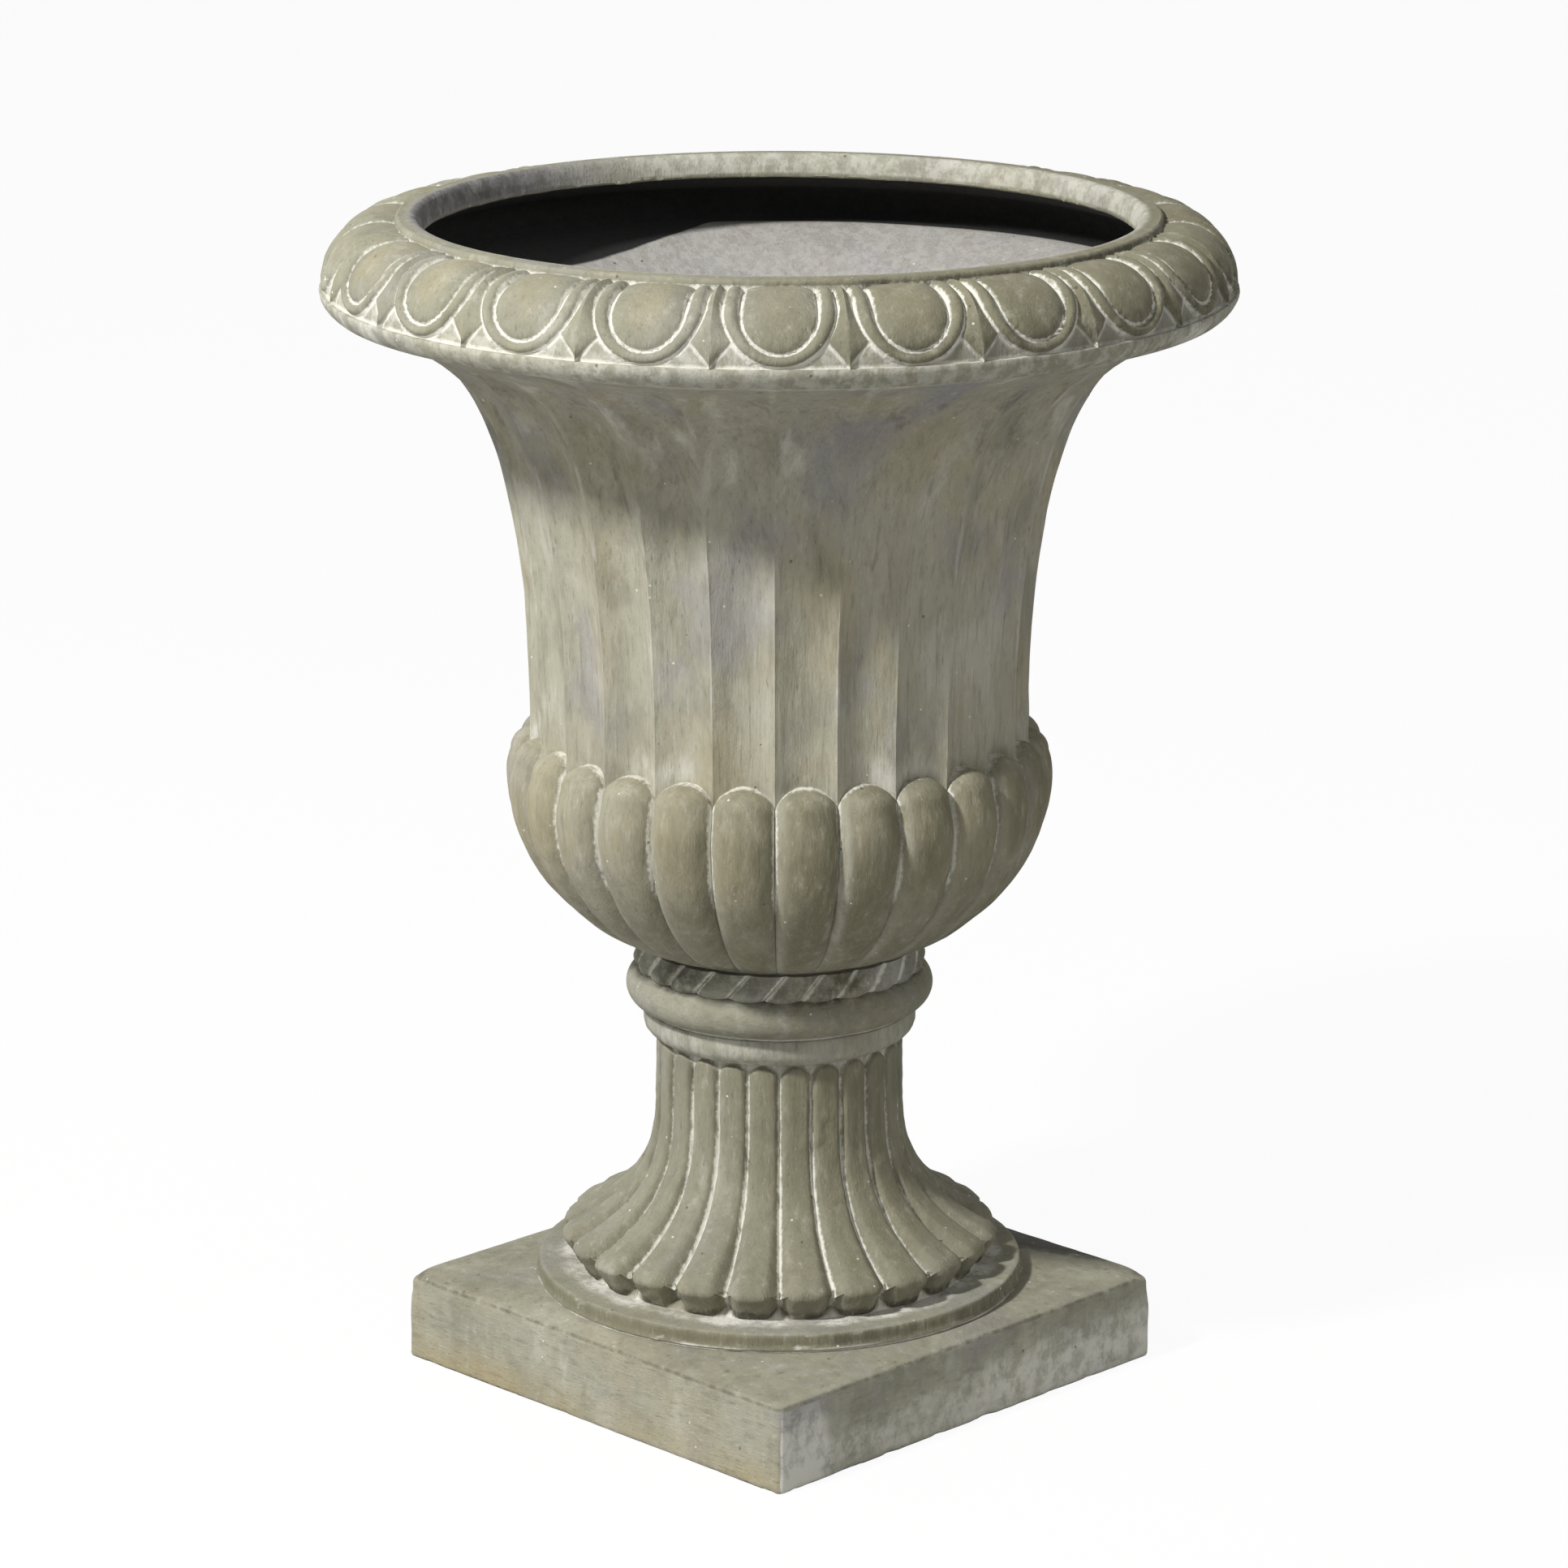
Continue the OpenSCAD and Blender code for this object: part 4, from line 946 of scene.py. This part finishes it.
# Painted shadow: the urn's shadow from the key light, painted dark on the top behind the foot, away from the
# light
right, behind = radius * np.sin(angle - FRONT), -radius * np.cos(angle - FRONT)
painted_lee_shade = top * ramp(-3, 12, behind - 26 + 0.27 * (right - 149)) * ramp(-110, 0, right)

# %% Web of the plinth: the hole for the rod and four weep holes
weep = [(62 * cos(a), 62 * sin(a), 6) for a in np.radians((45, 135, 225, 315))]
points, faces, masks = bored(radius, height, angle, [ROD_HOLE] + weep, dict(
    wash_and_light=wash_and_light, warm=np.clip(warm, 0, 1), cool_and_shade=cool_and_shade, stain_and_shade=stain_and_shade, grime_and_shade=np.maximum(grime_and_shade, painted_lee_shade),
    painted_shadow=0.5 * painted_lee_shade))
masks["groove"] = np.full(len(points), NO_LINE)
make_piece("square_plinth", points, faces, "urn", "plinth", plinth_stone, masks)

# %% [markdown]
# ## The joints: mortar, tie rod and drain
#
# What holds the castings together is mostly out of sight, but shows when the urn is taken apart: lime
# mortar in each joint, a steel hoop cast into the rim, a galvanised threaded rod with washers and nuts, a
# rubber gasket, and a plastic drain sleeve with a rubber plug. All are turned shapes, so one helper turns
# a section, and a formula adds what isn't round: the thread, the ribs, the flats, the ragged edge.

# %% Turned pieces
def turned(name, section, node, material, columns=96, at=0.0, body="urn", closed=True, change=None):
    """A piece turned about a vertical axis at x = at. A closed section goes round a hole; an open one is
    capped at both ends. change alters the radius and height of every point by its angle."""
    angle = np.arange(columns) * tau / columns
    radius, height = spin(section, columns)
    if change:
        radius, height = change(radius, height, angle)
    faces = grid_faces(len(section), columns, closed)
    if not closed:
        last = (len(section) - 1) * columns
        faces += [tuple(range(columns))[::-1], tuple(range(last, last + columns))]
    points = ring_points(radius, height, angle) + np.array([at, 0, 0])
    make_piece(name, points, faces, body, node, material, sharp=32)


def plain_material(name, colour, second, cell_mm, roughness, metallic=0.0, ior=1.5, bump_mm=0.3, share=0.6):
    """One substance whose second colour comes in patches cell_mm across, with a bump of finer noise."""
    material, tree, shader, place = new_material(name)
    fine = noise(place, cell_mm / 5, 3, 0.6, 23)
    patch = stepped(noise(place, float(cell_mm), 4, 0.6, 11), 0.42, 0.66, 0, share)
    shader.inputs["Metallic"].default_value = metallic
    if not metallic:
        shader.inputs["IOR"].default_value = ior
    mixed = blended(colour, second, patch)
    surface(shader, mixed, stepped(fine, 0.3, 0.7, roughness - 0.08, roughness + 0.06), fine, 0.7, bump_mm)
    return material


# %% Lime mortar joints: lime and sharp sand, struck off with a wet finger, pale, gritty and dead matt
mortar = plain_material("lime_mortar_struck", "#c9c7bd", "#a8a595", 3.0, 0.92, bump_mm=0.5)


def ragged(radius, height, angle):
    """Pulls the outer edge of a mortar ring in by up to 1.4 mm, unevenly."""
    middle = (radius.max() + radius.min()) / 2
    return radius - np.abs(rough(*flat_place(radius, angle), height, 12)) * 1.4 * (radius > middle), height


for joint, inner_r, outer_r, low in (("plinth", 102.5, 137.4, Z_SEAT), ("collar", 51.5, 75.9, Z_NECK_TOP),
                                     ("bowl", 62, 74.9, Z_COLLAR_TOP), ("rim", 227.5, 234.9, Z_BOWL_TOP)):
    section = above(low, (inner_r, 0), (outer_r - 0.3, 0), (outer_r, 0.4), (outer_r, 1.1),
                    (outer_r - 0.3, BED), (inner_r, BED))
    turned(joint + "_mortar_ring", section, joint + "_bedding", mortar, 240, change=ragged)

# %% [markdown]
# ## Steel: rod, washers, nuts and the rim's hoop
#
# The rod is M12 with a rolled thread of 1.75 mm pitch, hot-dip galvanised like its washers and nuts: a
# dull grey metal with a faint spangle. The thread is a real ridge that climbs one pitch a turn, because
# its crests catch the light at the nut. The hoop is ribbed bar with a skin of rust.

# %% Tie rod
zinc = plain_material("hot_dip_galvanised_steel", "#a7a9a6", "#c4c6c2", 7.0, 0.45, metallic=1.0, bump_mm=0.12)
rust = plain_material("ribbed_steel_bar_rusted", "#6f6a62", "#7a4a2c", 5.0, 0.7, metallic=0.6, bump_mm=0.3)
PITCH = 1.75
ROD_R, ROD_LOW, ROD_HIGH = 6, 4.0, 292.5


def thread(radius, height, angle):
    """Cuts the rolled thread, 1 mm deep, and lets it run out over the last turn at each end."""
    wave = np.abs(((height / PITCH - angle / tau) % 1) * 2 - 1)
    fade = ramp(ROD_LOW, ROD_LOW + 1.5, height) * ramp(ROD_HIGH, ROD_HIGH - 1.5, height)
    return radius - ramp(0.15, 0.85, wave) * fade, height


rod_heights = np.arange(ROD_LOW + 1.2, ROD_HIGH - 1.2, PITCH / 6)
section = [(4.8, ROD_LOW)] + [(ROD_R, z) for z in rod_heights] + above(ROD_HIGH, (ROD_R, -1.2), (4.8, 0))
turned("threaded_tie_rod", section, "tie_rod", zinc, 26, closed=False, change=thread)

# %% Washers and nuts
AF = 19.0                          # across the flats of an M12 nut
NUT_H, WASHER_H, WASHER_R = 10, 4.0, 30.0


def punched_washer(name, node, low):
    r, h = WASHER_R, WASHER_H
    section = above(low, (6.5, 0.4), (6.9, 0), (r - 0.8, 0), (r - 0.2, 0.3), (r, 0.9), (r, h - 0.3),
                    (r - 0.3, h), (7.0, h), (6.5, h - 0.5))
    turned(name, section, node, zinc, 120)


def hexagon_nut(name, node, low):
    """A round section turned into a hexagon, with chamfered corners."""
    def flats(radius, height, angle):
        hexagon = AF / 2 / np.cos((angle % (pi / 3)) - pi / 6)
        chamfer = AF / 2 - 0.1 + 1.7 * np.minimum(height - low, low + NUT_H - height)
        return np.where(radius > 8, np.minimum(np.minimum(hexagon, chamfer), radius), radius), height

    sides = [(12, h) for h in (0, 0.25, 0.5, 0.8, 1.2, 5, 8.8, 9.2, 9.5, 9.75, NUT_H)]
    section = above(low, (6.1, 0.7), (6.8, 0), *sides, (6.8, NUT_H), (6.1, NUT_H - 0.7))
    turned(name, section, node, zinc, 144, change=flats)


punched_washer("base_plate_washer", "base_washer", 20.0)
punched_washer("bowl_plate_washer", "bowl_washer", Z_FLOOR + 4)
hexagon_nut("base_hexagon_nut", "base_nut", 10.0)
hexagon_nut("bowl_hexagon_nut", "bowl_nut", Z_FLOOR + 8)

# %% Hoop in the rim
HOOP = (OVOLO[0] + 23.5 * cos(radians(45)), Z_OVOLO + 23.5 * sin(radians(45)))


def ribs(radius, height, angle):
    """Every fourth column keeps the bar's full size, and the others lie 0.3 mm lower."""
    sink = 0.12 * (1 - (np.arange(len(angle)) % 4 == 0))
    return mix(radius, HOOP[0], sink), mix(height, HOOP[1], sink)


turned("ribbed_rim_hoop", arc(HOOP, 2.5, 0, 324, 1.6), "rim_hoop", rust, 1200, change=ribs)

# %% [markdown]
# ## Drain: gasket, sleeve and plug
#
# The gasket is cut from 4 mm EPDM sheet. The sleeve is grey PVC pipe with chamfered ends. The plug is
# moulded EPDM rubber with three sealing ribs, a flat head and a ball to pull on; it is the one piece that
# moves, so it rides on its own body.

# %% Gasket, sleeve and plug
epdm = plain_material("epdm_rubber_sheet", "#2b2b2a", "#3a3935", 9.0, 0.6, ior=1.52, bump_mm=0.15)
plug_rubber = plain_material("epdm_rubber_moulded", "#2a2a2b", "#45433d", 12.0, 0.5, ior=1.52, bump_mm=0.1,
                             share=0.35)
pvc = plain_material("pvc_pipe_extruded", "#4a4d50", "#5b5d5e", 6.0, 0.4, ior=1.53, bump_mm=0.06)
section = above(Z_FLOOR, (6.6, 0), (32.2, 0), (32.8, 1), (33, 2), (32.8, 3), (32.2, 4), (6.6, 4), (6.5, 2))
turned("floor_gasket", section, "bowl_gasket", epdm, 120)
section = (above(Z_BOWL - 9, (9.4, 0), (10.4, 0), (11, 0.8))
           + above(Z_FLOOR, (11, -0.6), (10.6, 0), (9.6, 0), (9, -0.8)) + [(9, Z_BOWL - 8.2)])
turned("drain_pipe_sleeve", section, "drain_sleeve", pvc, 72, at=DRAIN_X)
stem = [(7.6, -14), (8.2, -13.4)]
for rib in (-10.5, -6.5, -2.5):
    stem += [(8.3, rib - 1.3), (8.7, rib - 0.3), (8.7, rib + 0.3), (8.3, rib + 1.3)]
head = [(8.4, 0), (12.2, 0), (12.8, 0.6), (13, 1.6), (13, 2.6), (12.6, 3.4), (11.6, 3.9), (8, 4), (5.6, 4.3),
        (4.8, 5), (4.5, 6.5)]
section = above(Z_FLOOR, *stem, *head) + arc((0, Z_FLOOR + 12), 6.5, -46, 84, 0.9)
turned("moulded_drain_plug", section, "drain_plug", plug_rubber, 64, at=DRAIN_X, body="plug",
       closed=False)

# %% [markdown]
# ## Camera
#
# The photograph was taken from a little above, corner on, with a long lens. The camera stands 3.1 m from
# the urn's axis at a height of 1.19 m and looks down by 15 degrees.

# %% Camera
CAMERA_AWAY, CAMERA_HIGH, LOOK_DOWN = 3.109, 1.1862, radians(15.259)
PICTURE_PX, FOCAL_PX, CENTRE_PX = 1932, 7139.8, 960.4
camera = new_object("camera", bpy.data.cameras.new("camera"))
camera.location = (CAMERA_AWAY * cos(FRONT), CAMERA_AWAY * sin(FRONT), CAMERA_HIGH)
camera.rotation_euler = (pi / 2 - LOOK_DOWN, 0, FRONT + pi / 2)
camera.data.sensor_width = 36
camera.data.lens = FOCAL_PX / PICTURE_PX * camera.data.sensor_width
camera.data.shift_x = (PICTURE_PX / 2 - CENTRE_PX) / PICTURE_PX
bpy.context.scene.camera = camera
print("lens", round(camera.data.lens, 1), "mm")

# %% [markdown]
# ## Studio
#
# A plain pale floor and a white surround. The key light is a small soft panel at the front left, high up,
# which models the lobes and throws the rim's shadow; weaker fills, low at both sides and in front, keep
# the shade open. The surround is white to the camera and to reflections only, so that it doesn't flood
# the stone.

# %% Floor and world
WHITE = (1, 1, 1, 1)
floor = new_object("studio_floor", bpy.data.meshes.new("studio_floor"))
floor.data.from_pydata([(-40, -40, 0), (40, -40, 0), (40, 40, 0), (-40, 40, 0)], [], [(0, 1, 2, 3)])
paint, tree, shader, place = new_material("floor_matt_white_paint")
shader.inputs["Roughness"].default_value = 0.9
shader.inputs["Base Color"].default_value = srgb("#b4b4b2")
glow = add_node(tree, "Emission", {"Color": WHITE, "Strength": 1.05})
share = maths("MULTIPLY", add_node(tree, "LightPath").outputs["Is Camera Ray"], 0.9)
mixed = add_node(tree, "MixShader", {0: share, 1: shader.outputs["BSDF"], 2: glow.outputs[0]})
tree.links.new(mixed.outputs[0], tree.nodes["Material Output"].inputs["Surface"])
floor.data.materials.append(paint)

world = bpy.data.worlds.new("studio")
bpy.context.scene.world = world
world.use_nodes = True
tree = world.node_tree
tree.nodes.clear()
rays = add_node(tree, "LightPath").outputs
direct = rays["Is Camera Ray"]
for ray in ("Is Glossy Ray", "Is Transmission Ray"):
    direct = maths("MAXIMUM", direct, rays[ray])
dim, bright = (add_node(tree, "Background", {"Color": WHITE, "Strength": s}).outputs[0] for s in (0.17, 1.0))
choice = add_node(tree, "MixShader", {0: direct, 1: dim, 2: bright})
add_node(tree, "OutputWorld", {"Surface": choice.outputs[0]})


# %% Soft panels
def soft_panel(name, azimuth, elevation, distance, size, watts):
    """A square area lamp aimed at the urn; azimuth is measured from the camera's direction, to its right."""
    lamp = new_object(name, bpy.data.lights.new(name, "AREA"))
    lamp.data.size = size
    lamp.data.energy = watts
    a, e = FRONT + radians(azimuth), radians(elevation)
    target = Vector((0, 0, 0.36))
    lamp.location = target + distance * Vector((cos(a) * cos(e), sin(a) * cos(e), sin(e)))
    lamp.rotation_euler = (target - lamp.location).to_track_quat("-Z", "Y").to_euler()


soft_panel("key_panel", SUN_AZIMUTH, 44.5, 3.6, 0.34, 155)
soft_panel("fill_panel_right", 62, 20, 3.4, 1.8, 19)
soft_panel("fill_panel_front", -20, 6, 3.4, 1.8, 7)
soft_panel("fill_panel_left", -105, 20, 3.4, 1.8, 11)
bpy.context.scene.view_settings.view_transform = "Standard"
